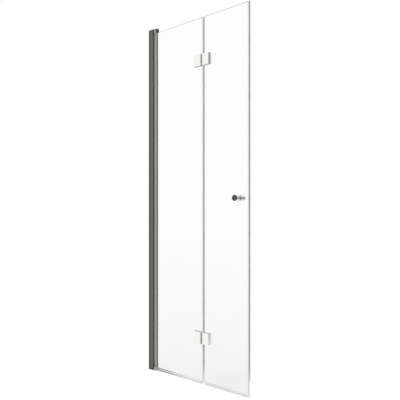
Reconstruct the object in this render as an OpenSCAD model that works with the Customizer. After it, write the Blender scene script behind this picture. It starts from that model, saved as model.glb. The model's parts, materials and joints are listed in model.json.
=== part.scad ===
// Bifold shower door: a wall profile, a round pivot profile, and two glass panels that fold on two hinges.
// X runs along the closed door, from the wall at the left to the closing edge. -Y is outside, +Y the shower.
// Z is up. The origin is on the tray, at the middle of the width, in the middle plane of the glass.

/* [Door] */
// Width of the closed door, from the wall to the closing edge
door_w = 750; // [650:5:950]
// Height of the wall profile and of its bearing caps, from the tray up
door_h = 1920; // [1600:10:2100]
// Distance from the wall to the closing edge when the door is folded
folded_edge = 118; // [112:1:150]
// Thickness of the glass
glass_t = 6; // [5:0.5:8]
// Gap between the two glass panels at the fold
fold_gap = 10; // [9:0.5:13]
// Height of the lower edge of the glass over the tray
glass_rise = 10; // [9:0.5:16]
// Drop from the top of the wall profile to the upper edge of the glass
glass_drop = 22; // [21.5:0.5:40]

/* [Wall profile] */
// Width of the wall profile, from the wall to its face
profile_w = 38.5; // [34:0.5:50]
// Depth of the wall profile, through the wall line
profile_d = 32; // [30:1:44]
// Wall thickness of the two extrusions
profile_t = 1.6; // [1.2:0.1:2.2]
// Strip of the wall channel that shows beside the wall
channel_show = 11; // [6:1:14]
// Number of wall screws
wall_screw_count = 4; // [3:1:6]
// Diameter of the wall screw holes
wall_hole_d = 6; // [5:0.5:7]
// Distance from the profile's ends to the first and last wall screw
wall_hole_inset = 105; // [60:5:200]
// Depth of the recess for the lip seal and the bearing caps in the profile's face
recess_h = 6.5; // [5:0.5:8]
// Number of adjusting screws on the shower side
adjust_screw_count = 3; // [2:1:5]

/* [Pivot] */
// Outer diameter of the round pivot profile
barrel_d = 22; // [21:0.5:28]
// Wall thickness of the round pivot profile
barrel_t = 5.5; // [5:0.25:6]
// Gap between the pivot profile and the wall profile's face
barrel_gap = 0.5; // [0.4:0.1:2]
// Reach of the glass clamp, from the pivot's axis
clamp_reach = 13.5; // [12.5:0.5:14]
// Wall thickness of the glass clamp
clamp_t = 1.2; // [1:0.1:2]
// Thickness of the glass gasket in the clamp
clamp_gasket_t = 0.8; // [0.6:0.1:1.2]
// Wall thickness of the bearing caps around the pivot profile
cap_wall = 3.1; // [2.5:0.1:4]
// Height of the bearing caps
cap_h = 21; // [20:0.5:30]
// Diameter of the pivot pins
pivot_pin_d = 6; // [5:0.5:6.5]
// Rise of the panels as the door opens a quarter turn
lift = 6; // [3:0.5:6.5]

/* [Fold hinges] */
// Height of a hinge
hinge_h = 60; // [50:1:90]
// Width of the plate on the inner panel
inner_plate_w = 50; // [40:1:70]
// Width of the plate on the outer panel
outer_plate_w = 46; // [40:1:70]
// Thickness of the outside plates
plate_t = 15.4; // [12.5:0.1:17]
// Diameter of the clamp discs, which lie flush in the glass on the shower side
disc_d = 18; // [16:0.5:20]
// Thickness of the pads between plates and glass
pad_t = 1; // [0.6:0.1:2]
// Diameter of the hinge knuckles
knuckle_d = 11; // [10:0.5:13]
// Diameter of the hinge pins
hinge_pin_d = 5; // [4:0.5:6]
// Height of the lower knuckle, which carries the outer panel
lower_knuckle_h = 36; // [28:1:40]
// Drop from the upper edge of the glass to the middle of the upper hinge
upper_hinge_drop = 224.5; // [120:0.5:400]
// Rise from the lower edge of the glass to the middle of the lower hinge
lower_hinge_rise = 232; // [120:1:400]

/* [Knob] */
// Diameter of the knobs
knob_d = 30; // [24:1:44]
// Length of each knob, from the glass to its face
knob_l = 31.5; // [24:0.5:31.5]
// Distance from the closing edge to the knobs' axis
knob_inset = 72; // [50:1:120]
// Height of the knobs' axis over the tray
knob_z = 958; // [700:1:1200]

/* [Seals] */
// Wall thickness of the clear seals
seal_t = 1.15; // [0.8:0.05:1.3]
// Height of the drip seals, from the tray to the tops of their legs
drip_seal_h = 17; // [15:0.5:24]
// Width of the closing seal past the glass
closing_seal_w = 8; // [7:0.5:12]
// Height over the tray at which the magnet strip starts
magnet_rise = 80; // [3:1:120]

/* [Hidden] */
$fn = 96;

// Clearances between pieces
press_gap = 0.05;   // pieces of one body that are pushed together
run_gap = 0.05;     // radial gap of a pin that turns in its bore
slide_gap = 0.2;    // extrusions and blocks that slide together
turn_gap = 0.4;     // the pivot profile inside its bearing caps
face_gap = 0.3;     // faces that pass each other as the door moves

// Places along the door
wall_x = -door_w / 2;
closing_x = door_w / 2;
profile_face_x = wall_x + profile_w;
recess_x = profile_face_x - recess_h;
web_t = 2;
channel_d = profile_d - 2 * (profile_t + slide_gap);
channel_w = profile_w - recess_h - web_t - 2;
pivot_x = profile_face_x + barrel_gap + barrel_d / 2;
fold_x = wall_x + (door_w + folded_edge) / 2;
inner_glass_x1 = fold_x - fold_gap / 2;
outer_glass_x0 = fold_x + fold_gap / 2;
outer_glass_x1 = closing_x - closing_seal_w;
knob_x = closing_x - knob_inset;

// Heights
end_cap_t = 2;
plug_h = 8;
profile_foot = end_cap_t;
profile_top = door_h - end_cap_t;
glass_z0 = glass_rise;
glass_z1 = door_h - glass_drop;
upper_hinge_z = glass_z1 - upper_hinge_drop;
lower_hinge_z = glass_z0 + lower_hinge_rise;

// Adjusting screws: they lock the frame profile to the wall channel from the shower side
adjust_r = 2;
adjust_head_r = 3.5;
adjust_head_t = 2.2;
adjust_inset = 150;
adjust_x = wall_x + (channel_show + channel_w) / 2;

// Bearing caps and pivot profile
barrel_r = barrel_d / 2;
barrel_bore_r = barrel_r - barrel_t;
pin_r = pivot_pin_d / 2;
pocket_r = barrel_r + turn_gap;
cap_r = pocket_r + cap_wall;
cap_floor = 5;
cap_roof = 6.5;
roof_z = door_h - cap_roof;
skirt_z = door_h - cap_h;
barrel_z1 = roof_z - lift - 0.5;
cap_half_chord = sqrt(pow(cap_r, 2) - pow(barrel_r + barrel_gap, 2));
recess_w = 2 * (cap_half_chord + slide_gap);
neck_w = recess_w - 0.8;
tab_t = 3.5;
tab_h = 14;
tab_screw_d = 4;
tab_screw_heights = [cap_h + tab_h / 2, skirt_z - tab_h / 2];
clamp_z0 = cap_h + 1;
clamp_z1 = skirt_z - lift - 0.5;
slot_half = glass_t / 2 + clamp_gasket_t;
slot_x = pivot_x + barrel_bore_r + 0.8;
clamp_half = slot_half + clamp_t;
glass_x0 = slot_x + clamp_gasket_t + 0.2;

// Notches in the pivot side's glass corners, which clear the bearing caps
notch_x = pivot_x + cap_r + 0.9;
notch_z0 = cap_h + 2;
notch_z1 = skirt_z - lift - 2;
notch_r = 3;

// Rise-and-fall cam: two ramps that turn a quarter turn into the lift
cam_base_h = 3;
cam_z = cap_floor + cam_base_h;
barrel_z0 = cam_z + 1;
rise_per_degree = lift / 90;
foot_half_angle = 20;
ramp_end_angle = 92 + foot_half_angle;
cam_gap = 0.25;
ramp_r0 = pin_r + 0.4;
ramp_r1 = barrel_bore_r - 0.4;
lower_plug_z = cam_z + rise_per_degree * (ramp_end_angle + foot_half_angle) + 0.7;
plug_l = 48;
plug_r = barrel_bore_r - press_gap;

// Keyed upper pin: turns with the pivot profile, which slides up on its hexagon
bush_wall = 1.5;
clip_recess_r = 7.5;
clip_recess_h = 2.6;
clip_t = 0.7;
collar_r = barrel_bore_r - 0.5;
collar_t = 1.2;
collar_z = roof_z - 0.2;
hex_af = pivot_pin_d;
hex_gap = 0.12;
hex_l = 40;
upper_plug_z1 = barrel_z1 - 2;
cover_t = 1;

// Fold hinges: the pin's axis lies just in front of the plates
plate_front_y = -(glass_t / 2 + pad_t + plate_t);
hinge_y = plate_front_y - face_gap;
plate_gap = knuckle_d / 2 + 1.1;
disc_r = disc_d / 2;
disc_neck_r = 5;
disc_rim_h = 0.3;
disc_face = glass_t - 0.05;
disc_cone_z = disc_face - disc_rim_h - (disc_r - disc_neck_r);
disc_shank_r = 3;
disc_shank_l = 8;
disc_spread = 32;
glass_hole_r = 6;
glass_cone_h = disc_r + 1.2 - glass_hole_r;
washer_t = 0.7;
pin_head_t = 1.5;
pin_head_r = 4;

// Knobs
knob_pad_t = 1;
knob_stud_d = 6;
knob_stud_l = 46;
knob_hole_d = 12;
grub_d = 4;
grub_y = glass_t / 2 + 10;

// Seals
grip_gap = 0.05;
grip_depth = 10;
grip_half = glass_t / 2 + grip_gap;
seal_half = grip_half + seal_t;
drip_start = cap_r + 1.7;
drip_lip_y = 13;
closing_chamber_half = 4.6;
magnet_gap = 0.15;

dark_metal = [0.40, 0.38, 0.36];
grey_metal = [0.58, 0.58, 0.57];
chrome = [0.88, 0.88, 0.88];
steel = [0.70, 0.71, 0.72];
clear_glass = [0.86, 0.92, 0.90, 0.35];
clear_seal = [0.80, 0.80, 0.79, 0.60];
black_plastic = [0.16, 0.16, 0.16];
pale_plastic = [0.85, 0.85, 0.83];

// A rectangle from corner a to corner b with round corners
module round_box_2d(a, b, r) {
    translate(a + [r, 0]) square(b - a - [2 * r, 0]);
    translate(a + [0, r]) square(b - a - [0, 2 * r]);
    for (x = [a.x + r, b.x - r], y = [a.y + r, b.y - r])
        translate([x, y]) circle(r);
}

// A straight bar of the given outline between two heights
module bar_z(z0, z1) {
    translate([0, 0, z0]) linear_extrude(z1 - z0) children();
}

// Turns an outline drawn in Y and Z into a bar along X
module bar_x(x0, x1) {
    translate([x0, 0, 0]) rotate([90, 0, 90]) linear_extrude(x1 - x0) children();
}

// A cylinder along Y from y0 to y1
module rod_y(r, y0, y1) {
    translate([0, y0, 0]) rotate([-90, 0, 0]) cylinder(r = r, h = y1 - y0);
}

// A cylinder along X from x0 to x1
module rod_x(r, x0, x1) {
    translate([x0, 0, 0]) rotate([0, 90, 0]) cylinder(r = r, h = x1 - x0);
}

// Heights of a row of screws, the first and the last at the given inset from the profile's ends
function screw_heights(count, inset) =
    [for (i = [0 : count - 1]) inset + i * (door_h - 2 * inset) / (count - 1)];

// ---------------------------------------------------------------- wall profile

module wall_channel_outline() {
    difference() {
        translate([wall_x, -channel_d / 2]) square([channel_w, channel_d]);
        translate([wall_x + 2, -channel_d / 2 + profile_t]) square([channel_w, channel_d - 2 * profile_t]);
    }
}

module wall_channel() {
    color(dark_metal) difference() {
        bar_z(profile_foot, profile_top) wall_channel_outline();
        for (z = screw_heights(wall_screw_count, wall_hole_inset))
            translate([0, 0, z]) rod_x(wall_hole_d / 2, wall_x - 1, wall_x + 3);
        for (z = screw_heights(adjust_screw_count, adjust_inset))
            translate([adjust_x, 0, z]) rod_y(adjust_r + press_gap, 0, profile_d / 2);
    }
}

module frame_profile_outline() {
    inside_d = profile_d - 2 * profile_t;
    show_x = wall_x + channel_show;
    web_x = recess_x - web_t;
    difference() {
        round_box_2d([show_x - 6, -profile_d / 2], [profile_face_x, profile_d / 2], 1.5);
        translate([show_x - 8, -profile_d / 2 - 1]) square([8, profile_d + 2]);
        translate([show_x - 8, -inside_d / 2]) square([web_x - show_x + 8, inside_d]);
        translate([recess_x, -recess_w / 2]) square([recess_h + 1, recess_w]);
    }
}

module frame_profile() {
    color(dark_metal) difference() {
        bar_z(profile_foot, profile_top) frame_profile_outline();
        for (z = screw_heights(adjust_screw_count, adjust_inset))
            translate([adjust_x, 0, z]) rod_y(adjust_r + press_gap, 0, profile_d / 2 + 1);
        for (z = tab_screw_heights)
            translate([0, 0, z]) rod_x(tab_screw_d / 2 + press_gap, recess_x - web_t - 1, recess_x + 1);
    }
}

// Cap on an end of the two extrusions, with a plug that sits in the wall channel
module end_cap(plate_z, plug_z) {
    plug_d = channel_d - 2 * profile_t - 0.6;
    color(black_plastic) {
        bar_z(plate_z, plate_z + end_cap_t) difference() {
            round_box_2d([wall_x, -profile_d / 2], [profile_face_x, profile_d / 2], 1.5);
            translate([recess_x, -recess_w / 2]) square([recess_h + 1, recess_w]);
        }
        translate([wall_x + 4, -plug_d / 2, plug_z]) cube([channel_w - 5, plug_d, plug_h]);
    }
}

module profile_top_cap() {
    end_cap(profile_top, profile_top - plug_h);
}

module profile_foot_cap() {
    end_cap(0, profile_foot);
}

module adjusting_screws() {
    color(steel) for (z = screw_heights(adjust_screw_count, adjust_inset))
        translate([adjust_x, 0, z]) difference() {
            union() {
                rod_y(adjust_r, profile_d / 2 - 9, profile_d / 2 + 0.5);
                rod_y(adjust_head_r, profile_d / 2, profile_d / 2 + adjust_head_t);
            }
            rod_y(1.5, profile_d / 2 + 0.8, profile_d / 2 + adjust_head_t + 1);
        }
}

module adjusting_screw_caps() {
    cap_r0 = adjust_head_r + 0.2;
    cap_r1 = cap_r0 + 1.1;
    color(dark_metal) for (z = screw_heights(adjust_screw_count, adjust_inset))
        translate([adjust_x, profile_d / 2, z]) rotate([-90, 0, 0]) rotate_extrude()
            polygon([
                [cap_r0, 0], [cap_r1, 0], [cap_r1, 2.6], [cap_r1 - 0.5, 3.3], [0, 3.7],
                [0, 2.5], [cap_r0, 2.5]
            ]);
}

// Soft strip in the profile's face, with two lips that reach to the round pivot profile
module lip_seal() {
    body_half = recess_w / 2 - 0.2;
    body_x1 = profile_face_x - 2;
    lip_y = body_half - 1.2;
    lip_tip_y = lip_y - 0.6;
    lip_x = pivot_x - sqrt(pow(barrel_r + face_gap, 2) - pow(lip_tip_y, 2));
    color(black_plastic) bar_z(tab_h + cap_h + 1, skirt_z - tab_h - 1) {
        translate([recess_x + 0.1, -body_half]) square([body_x1 - recess_x - 0.1, 2 * body_half]);
        for (side = [-1, 1]) polygon([
            [body_x1 - 0.5, side * body_half], [body_x1 - 0.5, side * (body_half - 1.8)],
            [lip_x, side * lip_tip_y], [lip_x, side * lip_y]
        ]);
    }
}

// ---------------------------------------------------------------- bearings

// Cap body without its bores: a round cap, the neck into the recess, and the tab with its screw hole.
// z0 is the closed end of the cap, and up is 1 when the cap opens upwards.
module cap_blank(z0, up) {
    tab_z = up > 0 ? z0 + cap_h : z0 - cap_h - tab_h;
    screw_z = tab_z + tab_h / 2;
    skirt = up > 0 ? z0 : z0 - cap_h;
    tab_x = recess_x + 0.1;
    difference() {
        union() {
            bar_z(skirt, skirt + cap_h) {
                translate([pivot_x, 0]) circle(cap_r);
                translate([tab_x, -neck_w / 2]) square([pivot_x - tab_x, neck_w]);
            }
            translate([tab_x, -neck_w / 2, tab_z - 0.5]) cube([tab_t, neck_w, tab_h + (up > 0 ? 0.5 : 1)]);
        }
        translate([0, 0, screw_z]) {
            rod_x(tab_screw_d / 2 + press_gap, tab_x - 1, tab_x + tab_t + 1);
            translate([tab_x + tab_t - 2.3, 0, 0]) rotate([0, 90, 0])
                cylinder(r1 = tab_screw_d / 2 + press_gap, r2 = 3.95, h = 2.31);
        }
    }
}

module top_bearing_cap() {
    color(grey_metal) difference() {
        cap_blank(door_h, -1);
        translate([pivot_x, 0, skirt_z - tab_h - 2]) cylinder(r = pocket_r, h = roof_z - skirt_z + tab_h + 2);
        translate([pivot_x, 0, roof_z - 1]) cylinder(r = pin_r + bush_wall + press_gap, h = cap_roof + 2);
        translate([pivot_x, 0, door_h - clip_recess_h]) cylinder(r = clip_recess_r, h = clip_recess_h + 1);
    }
}

module bottom_bearing_cap() {
    color(grey_metal) difference() {
        cap_blank(0, 1);
        translate([pivot_x, 0, cap_floor]) cylinder(r = pocket_r, h = cap_h + tab_h);
        translate([pivot_x, 0, 1]) cylinder(r = pin_r + press_gap, h = cap_floor);
    }
}

module bearing_screws() {
    tip_x = recess_x - web_t - 6;
    head_x = recess_x + 0.1 + tab_t;
    color(steel) for (z = tab_screw_heights)
        translate([0, 0, z]) difference() {
            union() {
                rod_x(tab_screw_d / 2, tip_x, head_x - 2.2);
                translate([head_x - 2.25, 0, 0]) rotate([0, 90, 0])
                    cylinder(r1 = tab_screw_d / 2, r2 = 3.75, h = 2.2);
            }
            rod_x(1.2, head_x - 1.4, head_x + 1);
        }
}

module top_bearing_bush() {
    color(pale_plastic) translate([pivot_x, 0, roof_z]) difference() {
        cylinder(r = pin_r + bush_wall, h = cap_roof - clip_recess_h);
        translate([0, 0, -1]) cylinder(r = pin_r + run_gap, h = cap_roof);
    }
}

module bearing_cover() {
    color(grey_metal) translate([pivot_x, 0, door_h - cover_t])
        cylinder(r = clip_recess_r - press_gap, h = cover_t);
}

module lower_pivot_pin() {
    pin_top = lower_plug_z + plug_l - 4;
    color(steel) translate([pivot_x, 0, 1]) {
        cylinder(r = pin_r, h = pin_top - 2);
        translate([0, 0, pin_top - 2]) cylinder(r1 = pin_r, r2 = pin_r - 1, h = 1);
    }
}

// A sector between two radii and two angles, whose upper or lower face climbs steadily with the angle.
// low and high are [height at angle a0, height at angle a1].
module climbing_sector(r0, r1, a0, a1, low, high) {
    steps = ceil((a1 - a0) / 5);
    last = 4 * steps;
    points = [
        for (i = [0 : steps])
            let (t = i / steps, a = a0 + t * (a1 - a0), zl = low[0] + t * (low[1] - low[0]),
                 zh = high[0] + t * (high[1] - high[0]))
                for (q = [[r0, zl], [r1, zl], [r1, zh], [r0, zh]]) [q[0] * cos(a), q[0] * sin(a), q[1]]
    ];
    sides = [
        for (i = [0 : steps - 1], k = [0 : 3])
            let (p = 4 * i + k, q = 4 * i + (k + 1) % 4)
                for (f = [[p, q, q + 4], [p, q + 4, p + 4]]) f
    ];
    ends = [[2, 1, 0], [3, 2, 0], [last, last + 1, last + 2], [last, last + 2, last + 3]];
    polyhedron(points = points, faces = concat(sides, ends), convexity = 4);
}

module lift_cam() {
    ramp_top = cam_z + rise_per_degree * (ramp_end_angle + foot_half_angle);
    color(pale_plastic) translate([pivot_x, 0, 0]) {
        translate([0, 0, cap_floor]) difference() {
            cylinder(r = pocket_r - 0.2, h = cam_base_h);
            translate([0, 0, -1]) cylinder(r = pin_r + press_gap, h = cam_base_h + 2);
        }
        for (turn = [0, 180])
            rotate([0, 0, turn])
                climbing_sector(ramp_r0, ramp_r1, -foot_half_angle, ramp_end_angle,
                    [cam_z - 0.5, cam_z - 0.5], [cam_z, ramp_top]);
    }
}

module hexagon_bar(across_flats, h) {
    rotate([0, 0, 30]) cylinder(r = across_flats / 2 / cos(30), h = h, $fn = 6);
}

module upper_pivot_pin() {
    groove_z = door_h - clip_recess_h + 0.1;
    color(steel) translate([pivot_x, 0, 0]) {
        translate([0, 0, collar_z - collar_t]) cylinder(r = collar_r, h = collar_t);
        translate([0, 0, collar_z - 0.1]) cylinder(r = pin_r, h = groove_z - collar_z + 0.1);
        translate([0, 0, groove_z - 0.1]) cylinder(r = pin_r - 0.8, h = clip_t + 0.3);
        translate([0, 0, groove_z + clip_t + 0.1]) cylinder(r = pin_r, h = 0.5);
        translate([0, 0, collar_z - collar_t - hex_l]) hexagon_bar(hex_af, hex_l + 0.1);
    }
}

module pivot_pin_clip() {
    clip_z = door_h - clip_recess_h + 0.15;
    color(steel) translate([pivot_x, 0, clip_z]) linear_extrude(clip_t - 0.05) difference() {
        circle(pin_r + 2.4);
        circle(pin_r - 0.75);
        translate([0, -1.5]) square([8, 3]);
    }
}

// ---------------------------------------------------------------- pivot profile

module pivot_profile() {
    clamp_x1 = pivot_x + clamp_reach;
    tip_r = clamp_t / 2;
    color(grey_metal) difference() {
        union() {
            translate([pivot_x, 0, barrel_z0]) cylinder(r = barrel_r, h = barrel_z1 - barrel_z0);
            bar_z(clamp_z0, clamp_z1) {
                translate([pivot_x, -clamp_half]) square([clamp_reach - tip_r, 2 * clamp_half]);
                for (side = [-1, 1])
                    translate([clamp_x1 - tip_r, side * (clamp_half - tip_r)]) circle(tip_r);
            }
        }
        translate([pivot_x, 0, barrel_z0 - 1]) cylinder(r = barrel_bore_r, h = barrel_z1 - barrel_z0 + 2);
        translate([slot_x, -slot_half, clamp_z0 - 1])
            cube([clamp_x1 - slot_x + 1, 2 * slot_half, clamp_z1 - clamp_z0 + 2]);
    }
}

module upper_pivot_plug() {
    color(pale_plastic) translate([pivot_x, 0, 0]) difference() {
        translate([0, 0, upper_plug_z1 - plug_l]) cylinder(r = plug_r, h = plug_l);
        translate([0, 0, collar_z - collar_t - hex_l - lift - 3])
            hexagon_bar(hex_af + 2 * hex_gap, hex_l + 40);
    }
}

module lower_pivot_plug() {
    foot_rise = 2 * foot_half_angle * rise_per_degree;
    foot_z = cam_z + cam_gap;
    color(pale_plastic) translate([pivot_x, 0, 0]) {
        translate([0, 0, lower_plug_z]) difference() {
            cylinder(r = plug_r, h = plug_l);
            translate([0, 0, -1]) cylinder(r = pin_r + run_gap, h = plug_l + 2);
        }
        for (turn = [0, 180])
            rotate([0, 0, turn])
                climbing_sector(ramp_r0, ramp_r1 - 0.1, -foot_half_angle, foot_half_angle,
                    [foot_z, foot_z + foot_rise], [lower_plug_z + 0.5, lower_plug_z + 0.5]);
    }
}

module clamp_gasket() {
    half = slot_half - press_gap;
    color(black_plastic) bar_z(clamp_z0, clamp_z1) difference() {
        translate([slot_x + press_gap, -half]) square([pivot_x + clamp_reach + 0.8 - slot_x, 2 * half]);
        translate([glass_x0 - press_gap, -glass_t / 2 - 0.02])
            square([clamp_reach + 10, glass_t + 0.04]);
    }
}

// ---------------------------------------------------------------- glass

module glass_panel(x0, x1) {
    translate([x0, -glass_t / 2, glass_z0]) cube([x1 - x0, glass_t, glass_z1 - glass_z0]);
}

// The holes through the glass for the two hinges, countersunk on the shower side.
// side is -1 for the inner panel and 1 for the outer panel.
module hinge_glass_holes(side) {
    for (z = [lower_hinge_z, upper_hinge_z], dz = [-1, 1])
        translate([plate_mid_x(side), 0, z + dz * disc_spread / 2]) {
            rod_y(glass_hole_r, -glass_t, glass_t);
            translate([0, glass_t / 2 - glass_cone_h, 0]) rotate([-90, 0, 0])
                cylinder(r1 = glass_hole_r, r2 = glass_hole_r + glass_cone_h + 0.5, h = glass_cone_h + 0.5);
        }
}

// Notches in the two corners beside the bearing caps, with a round inner corner
module cap_notches() {
    translate([0, glass_t, 0]) rotate([90, 0, 0]) linear_extrude(2 * glass_t) {
        round_box_2d([glass_x0 - 10, glass_z0 - 10], [notch_x, notch_z0], notch_r);
        round_box_2d([glass_x0 - 10, notch_z1], [notch_x, glass_z1 + 10], notch_r);
    }
}

module inner_glass() {
    color(clear_glass) difference() {
        glass_panel(glass_x0, inner_glass_x1);
        hinge_glass_holes(-1);
        cap_notches();
    }
}

module outer_glass() {
    color(clear_glass) difference() {
        glass_panel(outer_glass_x0, outer_glass_x1);
        hinge_glass_holes(1);
        translate([knob_x, 0, knob_z]) rod_y(knob_hole_d / 2, -glass_t, glass_t);
    }
}

// ---------------------------------------------------------------- fold hinges

function plate_w(side) = side < 0 ? inner_plate_w : outer_plate_w;
function plate_mid_x(side) = fold_x + side * (plate_gap + plate_w(side) / 2);
function plate_x0(side) = plate_mid_x(side) - plate_w(side) / 2;

module plate_outline(side, y0, y1, r) {
    round_box_2d([plate_x0(side), y0], [plate_x0(side) + plate_w(side), y1], r);
}

// Outside plate with its knuckle. The inner panel's leaf has the lower knuckle, the outer panel's the upper.
module hinge_leaf(side, zc) {
    pad_y = -glass_t / 2 - pad_t;
    z0 = zc - hinge_h / 2;
    upper_z0 = z0 + lower_knuckle_h + washer_t + 0.2;
    upper_z1 = z0 + hinge_h - pin_head_t - 0.2;
    knuckle_z0 = side < 0 ? z0 : upper_z0;
    knuckle_z1 = side < 0 ? z0 + lower_knuckle_h : upper_z1;
    bore_r = hinge_pin_d / 2 + (side < 0 ? 0.02 : run_gap);
    web_x0 = side < 0 ? fold_x - plate_gap - 0.5 : fold_x;
    color(chrome) difference() {
        union() {
            bar_z(z0, z0 + hinge_h) plate_outline(side, plate_front_y, pad_y, 0.8);
            bar_z(knuckle_z0, knuckle_z1) {
                translate([fold_x, hinge_y]) circle(knuckle_d / 2);
                translate([web_x0, plate_front_y]) square([plate_gap + 0.5, knuckle_d / 2]);
            }
        }
        translate([fold_x, hinge_y, z0 - 1]) cylinder(r = bore_r, h = hinge_h + 2);
        for (dz = [-1, 1])
            translate([plate_mid_x(side), 0, zc + dz * disc_spread / 2])
                rod_y(disc_shank_r + press_gap, pad_y - disc_shank_l - 0.5, pad_y + 1);
    }
}

// Places its children at the two clamp discs of a hinge plate, with Z along the disc into the shower
module at_discs(side, zc) {
    for (dz = [-1, 1])
        translate([plate_mid_x(side), -glass_t / 2, zc + dz * disc_spread / 2])
            rotate([-90, 0, 0]) children();
}

// Soft pad between plate and glass, with a sleeve that lines each countersunk glass hole
module hinge_pad(side, zc) {
    bore_r = disc_shank_r + 0.15;
    sleeve_r = glass_hole_r - press_gap;
    lip_z = glass_t - 0.1;
    lip_r = disc_r + press_gap;
    color(black_plastic) difference() {
        union() {
            bar_z(zc - hinge_h / 2 + 0.5, zc + hinge_h / 2 - 0.5)
                translate([plate_x0(side) + 0.5, -glass_t / 2 - pad_t])
                    square([plate_w(side) - 1, pad_t]);
            at_discs(side, zc) rotate_extrude() polygon([
                [bore_r, -pad_t / 2], [sleeve_r, -pad_t / 2], [sleeve_r, glass_t - glass_cone_h],
                [sleeve_r + lip_z - glass_t + glass_cone_h, lip_z], [lip_r, lip_z],
                [lip_r, disc_face - disc_rim_h], [disc_neck_r + press_gap, disc_cone_z],
                [disc_neck_r + press_gap, 0], [bore_r, 0]
            ]);
        }
        at_discs(side, zc) translate([0, 0, -pad_t - 1]) cylinder(r = bore_r, h = pad_t + 1);
    }
}

// Clamp discs: flush countersunk heads with a hexagon socket, whose threads pull the plate to the glass
module hinge_discs(side, zc) {
    color(chrome) at_discs(side, zc) difference() {
        union() {
            translate([0, 0, -pad_t - disc_shank_l]) cylinder(r = disc_shank_r, h = pad_t + disc_shank_l + 1);
            translate([0, 0, 0.02]) cylinder(r = disc_neck_r, h = disc_cone_z);
            translate([0, 0, disc_cone_z])
                cylinder(r1 = disc_neck_r, r2 = disc_r, h = disc_r - disc_neck_r);
            translate([0, 0, disc_face - disc_rim_h]) cylinder(r = disc_r, h = disc_rim_h);
        }
        translate([0, 0, disc_face - 2.6]) cylinder(r = 2.3, h = 4, $fn = 6);
    }
}

module hinge_pin(zc) {
    z1 = zc + hinge_h / 2;
    color(steel) translate([fold_x, hinge_y, 0]) {
        translate([0, 0, zc - hinge_h / 2]) cylinder(r = hinge_pin_d / 2, h = hinge_h - 0.5);
        translate([0, 0, z1 - pin_head_t]) cylinder(r = pin_head_r, h = pin_head_t - 0.5);
        translate([0, 0, z1 - 0.5]) cylinder(r1 = pin_head_r, r2 = pin_head_r - 0.5, h = 0.5);
    }
}

module hinge_washer(zc) {
    z0 = zc - hinge_h / 2 + lower_knuckle_h;
    color(pale_plastic) translate([fold_x, hinge_y, z0]) difference() {
        cylinder(r = knuckle_d / 2 - 0.2, h = washer_t);
        translate([0, 0, -1]) cylinder(r = hinge_pin_d / 2 + run_gap, h = washer_t + 2);
    }
}

module upper_hinge_inner_leaf() hinge_leaf(-1, upper_hinge_z);
module upper_hinge_inner_pad() hinge_pad(-1, upper_hinge_z);
module upper_hinge_inner_discs() hinge_discs(-1, upper_hinge_z);
module upper_hinge_pin() hinge_pin(upper_hinge_z);
module upper_hinge_washer() hinge_washer(upper_hinge_z);
module upper_hinge_outer_leaf() hinge_leaf(1, upper_hinge_z);
module upper_hinge_outer_pad() hinge_pad(1, upper_hinge_z);
module upper_hinge_outer_discs() hinge_discs(1, upper_hinge_z);
module lower_hinge_inner_leaf() hinge_leaf(-1, lower_hinge_z);
module lower_hinge_inner_pad() hinge_pad(-1, lower_hinge_z);
module lower_hinge_inner_discs() hinge_discs(-1, lower_hinge_z);
module lower_hinge_pin() hinge_pin(lower_hinge_z);
module lower_hinge_washer() hinge_washer(lower_hinge_z);
module lower_hinge_outer_leaf() hinge_leaf(1, lower_hinge_z);
module lower_hinge_outer_pad() hinge_pad(1, lower_hinge_z);
module lower_hinge_outer_discs() hinge_discs(1, lower_hinge_z);

// ---------------------------------------------------------------- seals

// Outline of a drip seal in Y and Z: legs on the glass, a wiper down to the tray, a lip that drips inwards
module drip_seal_outline() {
    bridge_z = glass_z0 - grip_gap - seal_t;
    difference() {
        translate([-seal_half, bridge_z]) square([2 * seal_half, drip_seal_h - bridge_z]);
        translate([-grip_half, glass_z0 - grip_gap]) square([2 * grip_half, drip_seal_h]);
    }
    translate([-seal_t / 2, 0]) square([seal_t, bridge_z + 0.1]);
    polygon([
        [seal_half - 1, bridge_z + 0.9], [seal_half - 1, bridge_z],
        [drip_lip_y, 2], [drip_lip_y + 0.6, 2.8], [seal_half, bridge_z + 0.9]
    ]);
}

module inner_drip_seal() {
    color(clear_seal) bar_x(pivot_x + drip_start, inner_glass_x1 - 1) drip_seal_outline();
}

module outer_drip_seal() {
    color(clear_seal) bar_x(outer_glass_x0 + 1, outer_glass_x1 - grip_depth - 0.5) drip_seal_outline();
}

// Hollow bulb seal on the inner panel's edge, left out at the hinges
module fold_seal() {
    edge = inner_glass_x1 + grip_gap;
    bulb_r = (fold_gap - seal_t - 0.9) / 2;
    bulb_x = edge + seal_t + bulb_r - 0.15;
    runs = [
        [drip_seal_h + 1, lower_hinge_z - hinge_h / 2 - 1],
        [lower_hinge_z + hinge_h / 2 + 1, upper_hinge_z - hinge_h / 2 - 1],
        [upper_hinge_z + hinge_h / 2 + 1, glass_z1]
    ];
    color(clear_seal) for (run = runs)
        bar_z(run[0], run[1]) difference() {
            union() {
                translate([edge - grip_depth, -seal_half]) square([grip_depth + seal_t, 2 * seal_half]);
                translate([bulb_x, 0]) circle(bulb_r);
            }
            translate([edge - grip_depth - 1, -grip_half]) square([grip_depth + 1, 2 * grip_half]);
            translate([bulb_x, 0]) circle(bulb_r - 0.8);
        }
}

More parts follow.
